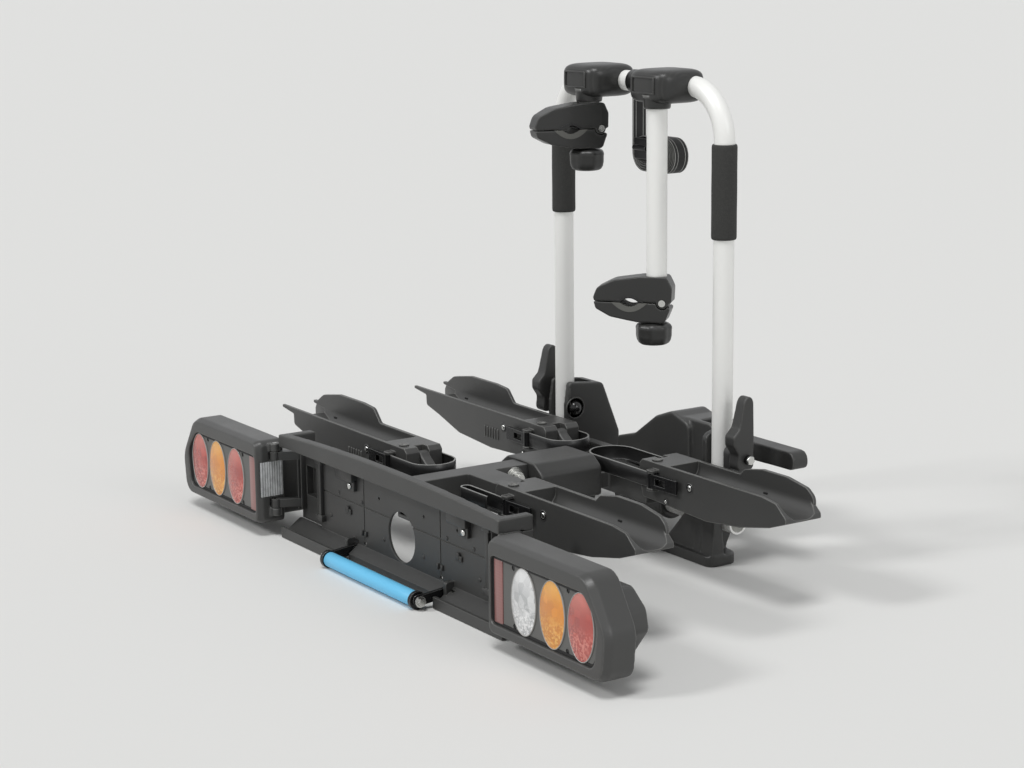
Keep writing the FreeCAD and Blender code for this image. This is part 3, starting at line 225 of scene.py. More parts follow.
def softened(node, voxel, passes, share, material, sculpt=None):
    """A copy of a CAD solid with the soft corners of a casting or moulding, in place of it."""
    piece = bpy.data.objects.new(node + "_form", nodes[node].data.copy())
    scene.collection.objects.link(piece)
    remesh = piece.modifiers.new("skin", "REMESH")
    remesh.mode = "VOXEL"
    remesh.voxel_size = voxel * 1
    settle(piece)
    if sculpt:
        for vertex in piece.data.vertices:
            vertex.co = sculpt(vertex.co)
    rounding = piece.modifiers.new("corners", "SMOOTH")
    rounding.factor = 0.5
    rounding.iterations = passes
    lighter = piece.modifiers.new("lighter", "DECIMATE")
    lighter.ratio = share
    even = piece.modifiers.new("even", "WEIGHTED_NORMAL")
    even.keep_sharp = True
    settle(piece)
    mark_corners(piece.data)
    piece.data.materials.clear()
    piece.data.materials.append(material)
    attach(piece, body_of[node])
    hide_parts(node)


def mark_corners(mesh):
    """Stores how far each point stands out: 0 on flat faces, 1 on a sharp corner."""
    count = len(mesh.vertices)
    places = numpy.empty(count * 3, dtype=numpy.float32)
    normals = numpy.empty(count * 3, dtype=numpy.float32)
    ends = numpy.empty(len(mesh.edges) * 2, dtype=numpy.int32)
    mesh.vertices.foreach_get("co", places)
    mesh.vertex_normals.foreach_get("vector", normals)
    mesh.edges.foreach_get("vertices", ends)
    places = places.reshape(-1, 3)
    normals = normals.reshape(-1, 3)
    one, other = ends.reshape(-1, 2).T
    way = places[one] - places[other]
    way /= numpy.maximum(numpy.linalg.norm(way, axis=1, keepdims=True), 1e-9)
    rise = numpy.bincount(one, (normals[one] * way).sum(axis=1), count)
    rise -= numpy.bincount(other, (normals[other] * way).sum(axis=1), count)
    shares = numpy.bincount(one, minlength=count) + numpy.bincount(other, minlength=count)
    share = (rise / numpy.maximum(shares, 1) - flat_rise) / (corner_rise - flat_rise)
    values = numpy.clip(share, 0, 1).astype(numpy.float32)
    mesh.attributes.new("corner", "FLOAT", "POINT").data.foreach_set("value", values)


def settle(piece):
    """Turn the modifiers into plain mesh and shade it smooth."""
    bpy.context.view_layer.update()
    done = bpy.data.meshes.new_from_object(piece.evaluated_get(bpy.context.evaluated_depsgraph_get()))
    piece.modifiers.clear()
    piece.data = done
    for polygon in done.polygons:
        polygon.use_smooth = True


powder_coat = coated("powder_coated_steel", "#3f3f3e", "#80807d", 0.4, 0.0012, 0.0003)
softened("main_frame", 0.0015, 4, 0.3, powder_coat)

# Latch cover, feet and hinge housings
# Injection moulded nylon, nearly black, with the fine matt texture of an etched mould.

moulded_nylon = coated("moulded_nylon", "#343433", "#6f6f6c", 0.4, 0.0007, 0.0003)
for node, voxel, passes in (("latch_cover", 0.0016, 8), ("foot_left", 0.0016, 5), ("foot_right", 0.0016, 5),
                            ("hinge_housing_left", 0.0015, 5), ("hinge_bracket_right", 0.0015, 5)):
    softened(node, voxel, passes, 0.3, moulded_nylon)

# Wheel trays
# Long troughs moulded in glass-filled nylon. Their edges are painted lighter, partly as wear from the wheels
# and partly as a highlight.

tray_nylon = coated("tray_nylon", "#434342", "#9a9a96", 0.36, 0.0008, 0.00035, 0.0022)
drain_shade = coated("drain_slot_shade", "#0c0c0c", "#1a1a1a", 0.7, 0.001, 0.0001, 0.0004)
tray_rows = {"front": -0.444, "rear": -0.195}
sides = {"left": -1, "right": 1}


def soften_edges(piece, width, segments=2):
    """Rounded edges on a piece built from flat faces."""
    bevel = piece.modifiers.new("edges", "BEVEL")
    bevel.width = width
    bevel.segments = segments
    bevel.limit_method = "ANGLE"
    bevel.angle_limit = math.radians(40)
    even = piece.modifiers.new("even", "WEIGHTED_NORMAL")
    even.keep_sharp = True
    settle(piece)
    return piece


def blocks(name, boxes, material, width, segments=2):
    """One piece of upright blocks with rounded edges, each between two corners."""
    points = []
    faces = []
    for low, high in boxes:
        (x0, x1), (y0, y1), (z0, z1) = [sorted(pair) for pair in zip(low, high)]
        first = len(points)
        points.extend([(x0, y0, z0), (x1, y0, z0), (x1, y1, z0), (x0, y1, z0),
                       (x0, y0, z1), (x1, y0, z1), (x1, y1, z1), (x0, y1, z1)])
        for face in ((0, 3, 2, 1), (4, 5, 6, 7), (0, 1, 5, 4), (1, 2, 6, 5), (2, 3, 7, 6), (3, 0, 4, 7)):
            faces.append(tuple(first + place for place in face))
    return soften_edges(shape_from(name, points, faces, material), width, segments)


def skin(rings, count, first=0, closed=False, flipped=False):
    """Faces between rings of points that follow one another, from point number first on."""
    faces = []
    for ring in range(rings if closed else rings - 1):
        low = first + ring * count
        high = first + (ring + 1) % rings * count
        for step in range(count):
            after = (step + 1) % count
            face = (low + step, low + after, high + after, high + step)
            faces.append(face[::-1] if flipped else face)
    return faces


def ends(rings, count, flipped=False):
    """The faces that close the first and the last ring."""
    first = tuple(range(count - 1, -1, -1))
    last = tuple(range((rings - 1) * count, rings * count))
    return [first[::-1], last[::-1]] if flipped else [first, last]


def shaded(piece, flat_ends=False):
    """Smooth shading, but flat on the ends if they are to look cut."""
    for polygon in piece.data.polygons:
        polygon.use_smooth = not flat_ends or len(polygon.vertices) == 4
    return piece


def lathe(name, profile, centre, axis, steps, material):
    """A turned piece: profile of (distance along the axis, radius) about an axis."""
    axis = Vector(axis).normalized()
    side = axis.orthogonal().normalized()
    other = axis.cross(side)
    points = []
    for along, radius in profile:
        for step in range(steps):
            angle = 2 * math.pi * step / steps
            points.append(Vector(centre) + axis * along
                          + (side * math.cos(angle) + other * math.sin(angle)) * radius)
    first, last = ends(len(profile), steps)
    faces = skin(len(profile), steps)
    if profile[0][1] > 0:
        faces.append(first)
    if profile[-1][1] > 0:
        faces.append(last)
    return shaded(shape_from(name, points, faces, material), flat_ends=True)


# The far wall's outer end closes with a rounded skin on the left trays, drawn as (x, z).
# Every tray has a round cap near its inner end, and a near-black block in its far wall is painted shade of a
# drain slot. Six ribs stand on the near wall of the left trays.
end_skin = ((-0.505, 0.0388), (-0.511, 0.029), (-0.511, 0.016), (-0.500, 0.004), (-0.465, -0.006),
            (-0.430, 0.004), (-0.430, 0.036), (-0.470, 0.050), (-0.492, 0.047))
skin_from = 0.0592
skin_to = 0.0617
cap_profile = [(0, 0.0078), (0.0006, 0.0078), (0.0014, 0.0072), (0.0014, 0.0052), (0.0006, 0.0046),
               (0.0004, 0.0)]
cap_x = 0.148
cap_y = 0.012
cap_z = 0.0418
drain_x = {"left": 0.435, "right": 0.3385}
drain_low = (-0.004, 0.0535, 0.0245)
drain_high = (0.004, 0.0562, 0.0272)
rib_x = -0.254
rib_pitch = 0.0075
rib_count = 6
rib_low = (-0.0028, -0.0014, -0.004)
rib_high = (0, 0.001, 0.014)
for row, near in tray_rows.items():
    for side, sign in sides.items():
        place = row + "_" + side
        body = "tray_" + place
        finish_node("tray_" + place, tray_nylon)
        cap = lathe("tray_cap_" + place, cap_profile, (sign * cap_x, near + cap_y, cap_z),
                    (0, 0, 1), 32, tray_nylon)
        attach(cap, body)
        # A near-black block, painted shade of the drain slot.
        slot = Vector((sign * drain_x[side], near, 0))
        box = (slot + Vector(drain_low), slot + Vector(drain_high))
        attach(blocks("tray_drain_shade_" + place, [box], drain_shade, 0.0004), body)
        if side == "left":
            points = [(x, near + y, z) for y in (skin_from, skin_to) for x, z in end_skin]
            faces = skin(2, len(end_skin), flipped=True) + ends(2, len(end_skin), flipped=True)
            end = shape_from("tray_end_" + place, points, faces, tray_nylon)
            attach(soften_edges(end, 0.0008), body)
            feet = [Vector((rib_x - rib_pitch * rib, near, 0)) for rib in range(rib_count)]
            boxes = [(foot + Vector(rib_low), foot + Vector(rib_high)) for foot in feet]
            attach(blocks("tray_ribs_" + place, boxes, tray_nylon, 0.0006), body)

# Wheel straps
# Ladder straps moulded in black polyurethane, with a raised bead along both edges that is painted pale as a
# highlight. Each runs out of its tray and bends back. The fine teeth are left out.

strap_low = 0.006
strap_high = 0.028
strap_half = 0.0011
edge_highlight_width = 0.0006
barrel_x = 0.1542
strap_front = 0.008
strap_back = 0.0634
strap_end_x = 0.145
flat_reach = 0.062
flat_gap = 0.015
loop_reach = {"front_left": 0.061, "rear_left": 0.072, "rear_right": -0.017}

strap_rubber, strap_tree, strap_shader = new_material(
    "moulded_polyurethane", "#1d1d1d", {"Roughness": 0.34, "Coat Weight": 0.15, "Coat Roughness": 0.3})
strap_place = grain(strap_tree, strap_shader, 0.002, 0.0002)[1]
strap_parts = add(strap_tree, "ShaderNodeSeparateXYZ", {}, {"Vector": strap_place.outputs["Object"]})
strap_off = add(strap_tree, "ShaderNodeMath", {"operation": "SUBTRACT", 1: (strap_low + strap_high) / 2},
                {0: strap_parts.outputs["Z"]})
strap_side = add(strap_tree, "ShaderNodeMath", {"operation": "ABSOLUTE"}, {0: strap_off.outputs[0]})
# Painted highlight: a pale band along the top and bottom edges of the strap.
strap_edge_highlight = add(strap_tree, "ShaderNodeMath",
                 {"operation": "COMPARE", 1: (strap_high - strap_low) / 2, 2: edge_highlight_width},
                 {0: strap_side.outputs[0]})
strap_mix = add(strap_tree, "ShaderNodeMix",
                {"data_type": "RGBA", 6: colour("#1d1d1d"), 7: colour("#7f7f7d")},
                {0: strap_edge_highlight.outputs[0]})
strap_tree.links.new(strap_mix.outputs[2], strap_shader.inputs["Base Color"])


def swept(name, path, section, material):
    """A band: the section of (outwards, up) points is carried along a flat path of (x, y)."""
    points = []
    for place, here in enumerate(path):
        before = path[max(place - 1, 0)]
        after = path[min(place + 1, len(path) - 1)]
        run = (Vector(after) - Vector(before)).normalized()
        for out, up in section:
            points.append((here[0] + run.y * out, here[1] - run.x * out, up))
    faces = skin(len(path), len(section)) + ends(len(path), len(section))
    return shape_from(name, points, faces, material)


def strap_path(near_line, far_line, start_x, reach_x, end_x):
    """Centre line of a wheel strap: inwards, round a half circle and back."""
    middle = (near_line + far_line) / 2
    radius = abs(far_line - near_line) / 2
    away = 1 if far_line > near_line else -1
    bend_x = reach_x + radius
    runs = 16
    bends = 32
    path = [(start_x + (bend_x - start_x) * step / runs, near_line) for step in range(runs)]
    for step in range(bends + 1):
        angle = math.pi * step / bends
        path.append((bend_x - radius * math.sin(angle), middle - away * radius * math.cos(angle)))
    path.extend((bend_x + (end_x - bend_x) * step / runs, far_line) for step in range(1, runs + 1))
    return path


bead = 0.0018
strap_section = [
    (-strap_half, strap_low), (strap_half + 0.0003, strap_low), (strap_half + 0.0003, strap_low + bead),
    (strap_half - 0.0004, strap_low + bead + 0.0004), (strap_half - 0.0004, strap_high - bead - 0.0004),
    (strap_half + 0.0003, strap_high - bead), (strap_half + 0.0003, strap_high), (-strap_half, strap_high)]
for row, near in tray_rows.items():
    for side, sign in sides.items():
        place = row + "_" + side
        line = near - strap_front
        if place in loop_reach:
            path = strap_path(line, near + strap_back, barrel_x, loop_reach[place], strap_end_x)
            outer = strap_section
        else:
            path = strap_path(line, line - flat_gap, barrel_x, flat_reach, barrel_x - 0.02)
            outer = [(-out, up) for out, up in strap_section]
        if side == "left":
            path = [(-x, y) for x, y in path]
            outer = [(-out, up) for out, up in outer]
        strap = soften_edges(swept("strap_" + place, path, outer, strap_rubber), 0.0003, 1)
        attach(strap, "tray_" + place)
        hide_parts("wheel_strap_" + place)

# Ratchet levers and pedal arms
# Pressed steel with a black zinc coating, painted lighter on its corners, partly as bright metal showing
# through and partly as a highlight.

black_zinc = coated("black_zinc_steel", "#262627", "#a4a4a2", 0.26, 0.0015, 0.0002, 0.0012,
                    {"Metallic": 0.6})
for row in tray_rows:
    for side in sides:
        finish_node("ratchet_lever_" + row + "_" + side, black_zinc)
finish_node("pedal_frame", black_zinc)

# Bolts, pins and screws
# Turned steel with a bright zinc plating, a little dulled. The buckle is black zinc, and the
# hoop's bolts are polished black.

zinc, zinc_tree, zinc_shader = new_material(
    "zinc_plated_steel", "#c9c9c6", {"Metallic": 1.0, "Roughness": 0.22})
zinc_noise = grain(zinc_tree, zinc_shader, 0.0015, 0.0002)[0]
zinc_tone = add(zinc_tree, "ShaderNodeMapRange", {"To Min": 0.16, "To Max": 0.34},
                {"Value": zinc_noise.outputs["Fac"]})
zinc_tree.links.new(zinc_tone.outputs["Result"], zinc_shader.inputs["Roughness"])
for node in ("frame_pins", "pedal_bolts", "clamp_pivot_left", "clamp_pivot_right", "ball_jaw"):
    finish_node(node, zinc)
finish_node("cam_buckle", black_zinc)
polished_black = coated("polished_black_steel", "#141414", "#8a8a88", 0.14, 0.002, 0.0001, 0.001)
finish_node("hoop_bolts", polished_black)

# Rings, seam and nuts at the hoop's hinges
# A raised ring stands round the bolt head in the left housing, whose front edge has a moulded
# seam. Each cam lever turns under a zinc plated hexagon nut.

hinge_y = -0.105
hinge_z = 0.052
ring_profile = [(0, 0.0152), (0.0011, 0.0157), (0.0016, 0.0166), (0.0011, 0.0175), (0, 0.0180)]
seam_low = (-0.1705, -0.1152, -0.014)
seam_high = (-0.1692, -0.1144, 0.085)
ring_x = -0.1699
nut_x = 0.2600
nut_profile = [(0, 0.0066), (0.0008, 0.0070), (0.0038, 0.0070), (0.0046, 0.0062)]
seam = blocks("housing_seam", [(seam_low, seam_high)], moulded_nylon, 0.0003)
hinge_ring = lathe("hinge_ring_left", ring_profile, (ring_x, hinge_y, hinge_z), (1, 0, 0), 48, moulded_nylon)
for piece in (seam, hinge_ring):
    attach(piece, body_of["hinge_housing_left"])
for side, sign in sides.items():
    nut = lathe("cam_nut_" + side, nut_profile, (sign * nut_x, hinge_y, hinge_z), (sign, 0, 0), 6, zinc)
    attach(nut, body_of["hoop_bolts"])

# Rivets of the wheel trays
# Domed zinc plated rivets on black washers, a large one and a small one in each near wall.

# Each as (x, z, radius).
rivet_places = ((0.2385, 0.020, 0.0046), (0.184, -0.011, 0.003))
for row, near in tray_rows.items():
    for side, sign in sides.items():
        place = row + "_" + side
        for index, (x, z, size) in enumerate(rivet_places):
            centre = (sign * x, near, z)
            washer = lathe("tray_washer_%s_%d" % (place, index),
                           [(0, size * 1.6), (0.0007, size * 1.6), (0.0010, size * 1.4), (0.0010, size)],
                           centre, (0, -1, 0), 24, black_zinc)
            rivet = lathe("tray_rivet_%s_%d" % (place, index),
                          [(0.0006, size), (0.0014, size * 0.92), (0.0022, size * 0.6), (0.0025, 0.0)],
                          centre, (0, -1, 0), 24, zinc)
            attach(washer, "tray_" + place)
            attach(rivet, "tray_" + place)

# Number plate board
# A flat nylon moulding with shallow grooves and clip holes. Nylon catches with a bright hook
# each stand on it, and hold the plate.

board_nylon = coated("board_nylon", "#3c3c3b", "#74746f", 0.44, 0.0009, 0.0004, 0.0014)
finish_node("plate_board", board_nylon)
board_front = -0.526
catch_root = 0.001
# Each form stands about (x, z) as (left, right, height over the board, bottom, top).
catch_forms = (
    ((-0.140, 0.171), -0.003,
     ((-0.034, 0.014, 0.010, 0.006, 0.022), (-0.010, 0.014, 0.006, -0.008, 0.008))),
    ((-0.151, 0.155), -0.044,
     ((-0.008, 0.008, 0.0025, -0.006, 0.002), (-0.003, 0.003, 0.004, -0.003, 0.006))),
    ((-0.111, -0.1, 0.1, 0.111), -0.070,
     ((-0.002, 0.002, 0.003, -0.004, 0.004),)))
hook_profile = [(0, 0.0052), (0.0015, 0.0052), (0.003, 0.0038), (0.0036, 0.0)]
hook_places = ((-0.137, -0.004), (0.176, -0.004))
hook_y = board_front - 0.006
blind_profile = [(0, 0.0032), (0.0005, 0.0031), (0.0011, 0.0018), (0.0013, 0.0)]
blind_places = ((-0.1805, -0.0235), (-0.112, -0.0245), (0.123, -0.0247), (0.192, -0.0246),
                (-0.206, -0.064), (0.206, -0.064), (-0.05, -0.0665), (0.06, -0.0665))

boxes = []
for columns, z, forms in catch_forms:
    for x in columns:
        for left, right, proud, low, high in forms:
            boxes.append(((x + left, board_front - proud, z + low),
                          (x + right, board_front + catch_root, z + high)))
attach(blocks("plate_catches", boxes, moulded_nylon, 0.0008), "platform")
for index, (x, z) in enumerate(hook_places):
    hook = lathe("catch_hook_%d" % index, hook_profile, (x, hook_y, z), (0, -1, 0), 20, zinc)
    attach(hook, "platform")
for index, (x, z) in enumerate(blind_places):
    dot = lathe("board_rivet_%d" % index, blind_profile, (x, board_front, z), (0, -1, 0), 16, moulded_nylon)
    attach(dot, "platform")

# Top rail of the board
# One bowed moulding with soft corners, left bare on its face.

softened("top_rail", 0.0015, 5, 0.3, board_nylon)

# Bracket columns beside the board
# Ribbed nylon columns that carry the lamp hinges. Each has four upright ribs and two lugs.

# Each rib as (x, width, height over the board).
column_ribs = ((0.228, 0.008, 0.006), (0.2405, 0.002, 0.004), (0.292, 0.0025, 0.004),
               (0.2985, 0.0025, 0.006))
column_z = (-0.074, 0.020)
lug_x = (0.223, 0.241)
lug_z = (-0.078, 0.010)
lug_high = 0.009
lug_proud = 0.008
rib_root = 0.005
lug_root = 0.003
for side, sign in sides.items():
    finish_node("wing_bracket_" + side, moulded_nylon)
    boxes = [((sign * x, board_front + rib_root, column_z[0]),
              (sign * (x + wide), board_front - proud, column_z[1])) for x, wide, proud in column_ribs]
    boxes += [((sign * lug_x[0], board_front + lug_root, z),
               (sign * lug_x[1], board_front - lug_proud, z + lug_high)) for z in lug_z]
    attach(blocks("column_ribs_" + side, boxes, moulded_nylon, 0.0006), "platform")

# Lamp casings
# Deep shells moulded in satin polypropylene, with a rolled rim round the lens panel.

lamp_shell = coated("lamp_polypropylene", "#414140", "#8e8e8b", 0.34, 0.0008, 0.0003, 0.002)
for side in sides:
    softened("lamp_housing_" + side, 0.0015, 6, 0.3, lamp_shell)

# Lens panels and their screws
# Mid-grey acrylic sheet with sunk black screws. A thin near-black strip round it is painted shade in the gap
# to the casing.

panel_acrylic = coated("grey_acrylic", "#5b5b59", "#8a8a87", 0.34, 0.0012, 0.00015, 0.001)
screw_black = coated("blackened_screw", "#191919", "#555555", 0.4, 0.001, 0.0002, 0.0006)
gap_shade_rubber = coated("gap_shade_rubber", "#0f0f0f", "#2a2a2a", 0.6, 0.0015, 0.0002, 0.0005)
panel_front = -0.585
# Corners as (x, z, radius), and the shade strip's section as (inwards, behind the panel's front).
panel_corners = ((0.330, -0.080, 0.008), (0.330, 0.011, 0.008), (0.535, 0.011, 0.020),
                 (0.566, -0.022, 0.030), (0.558, -0.080, 0.014))
gap_shade_section = ((0.0, 0.0004), (0.0, -0.0010), (0.0040, -0.0010), (0.0044, 0.0004))


def rounded_outline(corners, inset, steps=8):
    """Points along a polygon with rounded corners, drawn in by an inset."""
    outline = []
    for place, (x, z, radius) in enumerate(corners):
        here = Vector((x, z))
        before = (Vector(corners[place - 1][:2]) - here).normalized()
        after = (Vector(corners[(place + 1) % len(corners)][:2]) - here).normalized()
        half = before.angle(after) / 2
        centre = here + (before + after).normalized() * (radius / math.sin(half))
        first = (here + before * (radius / math.tan(half)) - centre).normalized()
        last = (here + after * (radius / math.tan(half)) - centre).normalized()
        for step in range(steps + 1):
            way = (first * (1 - step / steps) + last * (step / steps)).normalized()
            outline.append(centre + way * (radius - inset))
    return outline


for side, sign in sides.items():
    finish_node("lens_panel_" + side, panel_acrylic)
    finish_node("panel_screws_" + side, screw_black)
    # The near-black strip round the panel is painted shade of the gap to the casing.
    points = []
    for inset, depth in gap_shade_section:
        points.extend((sign * x, panel_front + depth, z) for x, z in rounded_outline(panel_corners, inset))
    faces = skin(len(gap_shade_section), len(points) // len(gap_shade_section))
    gap_shade_strip = shape_from("panel_gap_shade_" + side, points, faces, gap_shade_rubber)
    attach(gap_shade_strip, "wing_" + side)

# Lamp lenses
# Oval domes of pressed acrylic in red, amber and clear, each in a thin clear bead. Facets of about 11 mm and
# upright flutes give them a reflector's look, with a painted highlight towards the top and painted glints
# low down.

lens_z = -0.035
lens_half = (0.0271, 0.0437)
lens_x = (0.4019, 0.4653, 0.5271)
lens_rise = 0.0032
lens_rim = 0.0012
bead_section = ((-0.0006, -0.0010), (-0.0004, -0.0017), (0.0003, -0.0019), (0.0009, -0.0012),
                (0.0010, 0.0006), (-0.0006, 0.0006))
facet_size = 0.011
# The wave node draws a flute every 0.31 of this size, so one every 1.6 mm.
flute_size = 0.0052
glint_cell_size = 0.0027


def lens_acrylic(name, bright, deep, highlight_colour, weight):
    """Coloured acrylic over facets: light and dark cells with fine upright flutes, a painted highlight
    towards the top and painted glints low down.
    """
    material, tree, shader = new_material(name, bright, {
        "Roughness": 0.16, "Coat Weight": 0.8, "Coat Roughness": 0.06, "Specular IOR Level": 0.6})
    where = add(tree, "ShaderNodeTexCoord")
    cells = add(tree, "ShaderNodeTexVoronoi", {"Scale": 1 / facet_size, "Randomness": 0.85},
                {"Vector": where.outputs["Object"]})
    flutes = add(tree, "ShaderNodeTexWave",
                 {"Scale": 1 / flute_size, "Distortion": 1.2, "Detail": 1.0, "bands_direction": "X"},
                 {"Vector": where.outputs["Object"]})
    tone = add(tree, "ShaderNodeMath", {"operation": "MULTIPLY"},
               {0: cells.outputs["Color"], 1: flutes.outputs["Fac"]})
    spread = add(tree, "ShaderNodeMapRange", {"From Max": 0.62, "To Max": weight},
                 {"Value": tone.outputs[0]})
    mix = add(tree, "ShaderNodeMix", {"data_type": "RGBA", 6: colour(bright), 7: colour(deep)},
              {0: spread.outputs["Result"]})
    parts = add(tree, "ShaderNodeSeparateXYZ", {}, {"Vector": where.outputs["Object"]})
    # Painted highlight: the colour turns towards the highlight colour towards the top of the lens.
    high = add(tree, "ShaderNodeMapRange", {"From Min": -0.022, "From Max": 0.004, "To Max": 0.65},
               {"Value": parts.outputs["Z"]})
    low = add(tree, "ShaderNodeMapRange", {"From Min": -0.030, "From Max": -0.055},
              {"Value": parts.outputs["Z"]})
    # Painted glints: small cells turn pale in the lower part of the lens.
    glint_cells = add(tree, "ShaderNodeTexVoronoi", {"Scale": 1 / glint_cell_size}, {"Vector": where.outputs["Object"]})
    painted_glint = add(tree, "ShaderNodeMapRange", {"From Min": 0.45, "From Max": 0.75, "To Max": 0.9},
                {"Value": glint_cells.outputs["Color"]})
    painted_low_glints = add(tree, "ShaderNodeMath", {"operation": "MULTIPLY"},
                  {0: painted_glint.outputs[0], 1: low.outputs[0]})
    painted_highlight_mask = add(tree, "ShaderNodeMath", {"operation": "MAXIMUM"},
                {0: high.outputs[0], 1: painted_low_glints.outputs[0]})
    highlighted_colour = add(tree, "ShaderNodeMix", {"data_type": "RGBA", 7: colour(highlight_colour)},
              {0: painted_highlight_mask.outputs[0], 6: mix.outputs[2]})
    tree.links.new(highlighted_colour.outputs[2], shader.inputs["Base Color"])
    bump = add(tree, "ShaderNodeBump", {"Strength": 0.5, "Distance": 0.0006},
               {"Height": flutes.outputs["Fac"]})
    tree.links.new(bump.outputs["Normal"], shader.inputs["Normal"])
    return material


# The third colour of each is its painted highlight.
red_acrylic = lens_acrylic("red_acrylic", "#c2493d", "#8c2c26", "#e58a7c", 0.9)
amber_acrylic = lens_acrylic("amber_acrylic", "#f29a1e", "#c46f0c", "#ffc258", 0.9)
clear_acrylic = lens_acrylic("clear_acrylic", "#eceded", "#85888b", "#ffffff", 0.95)
bead_acrylic, bead_tree, bead_shader = new_material("bead_acrylic", "#a5a4a1", {"Roughness": 0.2})
grain(bead_tree, bead_shader, 0.002, 0.0001)
reflector, reflector_tree, reflector_shader = new_material(
    "prismatic_reflector", "#865552", {"Roughness": 0.3, "Coat Weight": 0.5, "Coat Roughness": 0.15})
reflector_place = add(reflector_tree, "ShaderNodeTexCoord")
reflector_cells = add(reflector_tree, "ShaderNodeTexVoronoi", {"Scale": 1 / 0.004, "Randomness": 0.0},
                      {"Vector": reflector_place.outputs["Object"]})
reflector_mix = add(reflector_tree, "ShaderNodeMix",
                    {"data_type": "RGBA", 6: colour("#7b4d4a"), 7: colour("#9a6a66")},
                    {0: reflector_cells.outputs["Distance"]})
reflector_tree.links.new(reflector_mix.outputs[2], reflector_shader.inputs["Base Color"])
reflector_bump = add(reflector_tree, "ShaderNodeBump", {"Strength": 0.4, "Distance": 0.0004},
                     {"Height": reflector_cells.outputs["Distance"]})
reflector_tree.links.new(reflector_bump.outputs["Normal"], reflector_shader.inputs["Normal"])


def dome(name, centre_x, material, body):
    """One oval lens with its bead."""
    steps = 64
    turns = [2 * math.pi * step / steps for step in range(steps)]
    rings = [ring / 10 for ring in range(1, 11)]
    points = [(centre_x, panel_front - lens_rim - lens_rise, lens_z)]
    for share in rings:
        y = panel_front - lens_rim - lens_rise * (1 - share ** 2)
        points.extend((centre_x + lens_half[0] * share * math.cos(angle), y,
                       lens_z + lens_half[1] * share * math.sin(angle)) for angle in turns)
    faces = [(0, 1 + (step + 1) % steps, 1 + step) for step in range(steps)]
    faces.extend(skin(len(rings), steps, first=1))
    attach(shaded(shape_from(name, points, faces, material)), body)
    points = []
    for angle in turns:
        points.extend((centre_x + (lens_half[0] + out) * math.cos(angle), panel_front + depth,
                       lens_z + (lens_half[1] + out) * math.sin(angle)) for out, depth in bead_section)
    faces = skin(steps, len(bead_section), closed=True, flipped=True)
    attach(shaded(shape_from(name + "_bead", points, faces, bead_acrylic)), body)


strip_x = (0.3343, 0.3537)
strip_y = (-0.0012, 0.0016)
strip_half = 0.0424
for side, sign in sides.items():
    tones = (red_acrylic if side == "left" else clear_acrylic, amber_acrylic, red_acrylic)
    body = "wing_" + side
    for index, (x, tone) in enumerate(zip(lens_x, tones)):
        dome("lens_%s_%d" % (side, index), sign * x, tone, body)
    box = ((sign * strip_x[0], panel_front + strip_y[0], lens_z - strip_half),
           (sign * strip_x[1], panel_front + strip_y[1], lens_z + strip_half))
    strip = blocks("reflector_strip_" + side, [box], reflector, 0.001, 3)
    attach(strip, body)
    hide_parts("lamp_lenses_" + side)

# Number plate lamp
# A clear cover with upright flutes of 4 mm in the left casing's inner wall.

cover_low = (-0.3262, -0.583, -0.053)
cover_high = (-0.3218, -0.546, 0.001)
cover_flutes = 9
flute_steps = 6
flute_rise = 0.0009
rows = cover_flutes * flute_steps + 1
points = []
for row in range(rows):
    y = cover_low[1] + (cover_high[1] - cover_low[1]) * row / (rows - 1)
    out = cover_high[0] + flute_rise * abs(math.sin(math.pi * row / flute_steps)) - 0.0004
    points.extend(((cover_low[0], y, cover_low[2]), (out, y, cover_low[2]),
                   (out, y, cover_high[2]), (cover_low[0], y, cover_high[2])))
faces = skin(rows, 4) + ends(rows, 4)
cover_acrylic, cover_tree, cover_shader = new_material(
    "fluted_clear_acrylic", "#aeb0b1", {"Roughness": 0.14, "Coat Weight": 0.7, "Coat Roughness": 0.05})
cover_noise = grain(cover_tree, cover_shader, 0.009, 0.0003)[0]
cover_mix = add(cover_tree, "ShaderNodeMix",
                {"data_type": "RGBA", 6: colour("#77797a"), 7: colour("#d3d5d6")},
                {0: cover_noise.outputs["Fac"]})
cover_tree.links.new(cover_mix.outputs[2], cover_shader.inputs["Base Color"])
plate_cover = shape_from("plate_lamp_cover", points, faces, cover_acrylic)
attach(plate_cover, "wing_left")
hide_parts("plate_lamp")

# Release pedal's grip
# A sky-blue sleeve of satin rubber on the pedal's rod, with a fine moulded grain.

grip_rubber = coated("blue_grip_rubber", "#6cc4ee", "#a2dcf8", 0.42, 0.0008, 0.00025, 0.0012)
grip_half = 0.1205
grip_profile = [(-grip_half, 0.0082), (-grip_half, 0.0104), (-grip_half + 0.001, 0.011),
                (-grip_half * 0.5, 0.0111), (0, 0.0111), (grip_half * 0.5, 0.0111),
                (grip_half - 0.001, 0.011), (grip_half, 0.0104), (grip_half, 0.0082)]
grip_y = -0.577
grip_z = -0.104
grip = lathe("pedal_sleeve", grip_profile, (0, grip_y, grip_z), (1, 0, 0), 48, grip_rubber)
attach(grip, "pedal")
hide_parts("pedal_grip")

# Hoop and arm tubes
# Aluminium tube with a satin anodised skin, pale and slightly warm, drawn along its length.

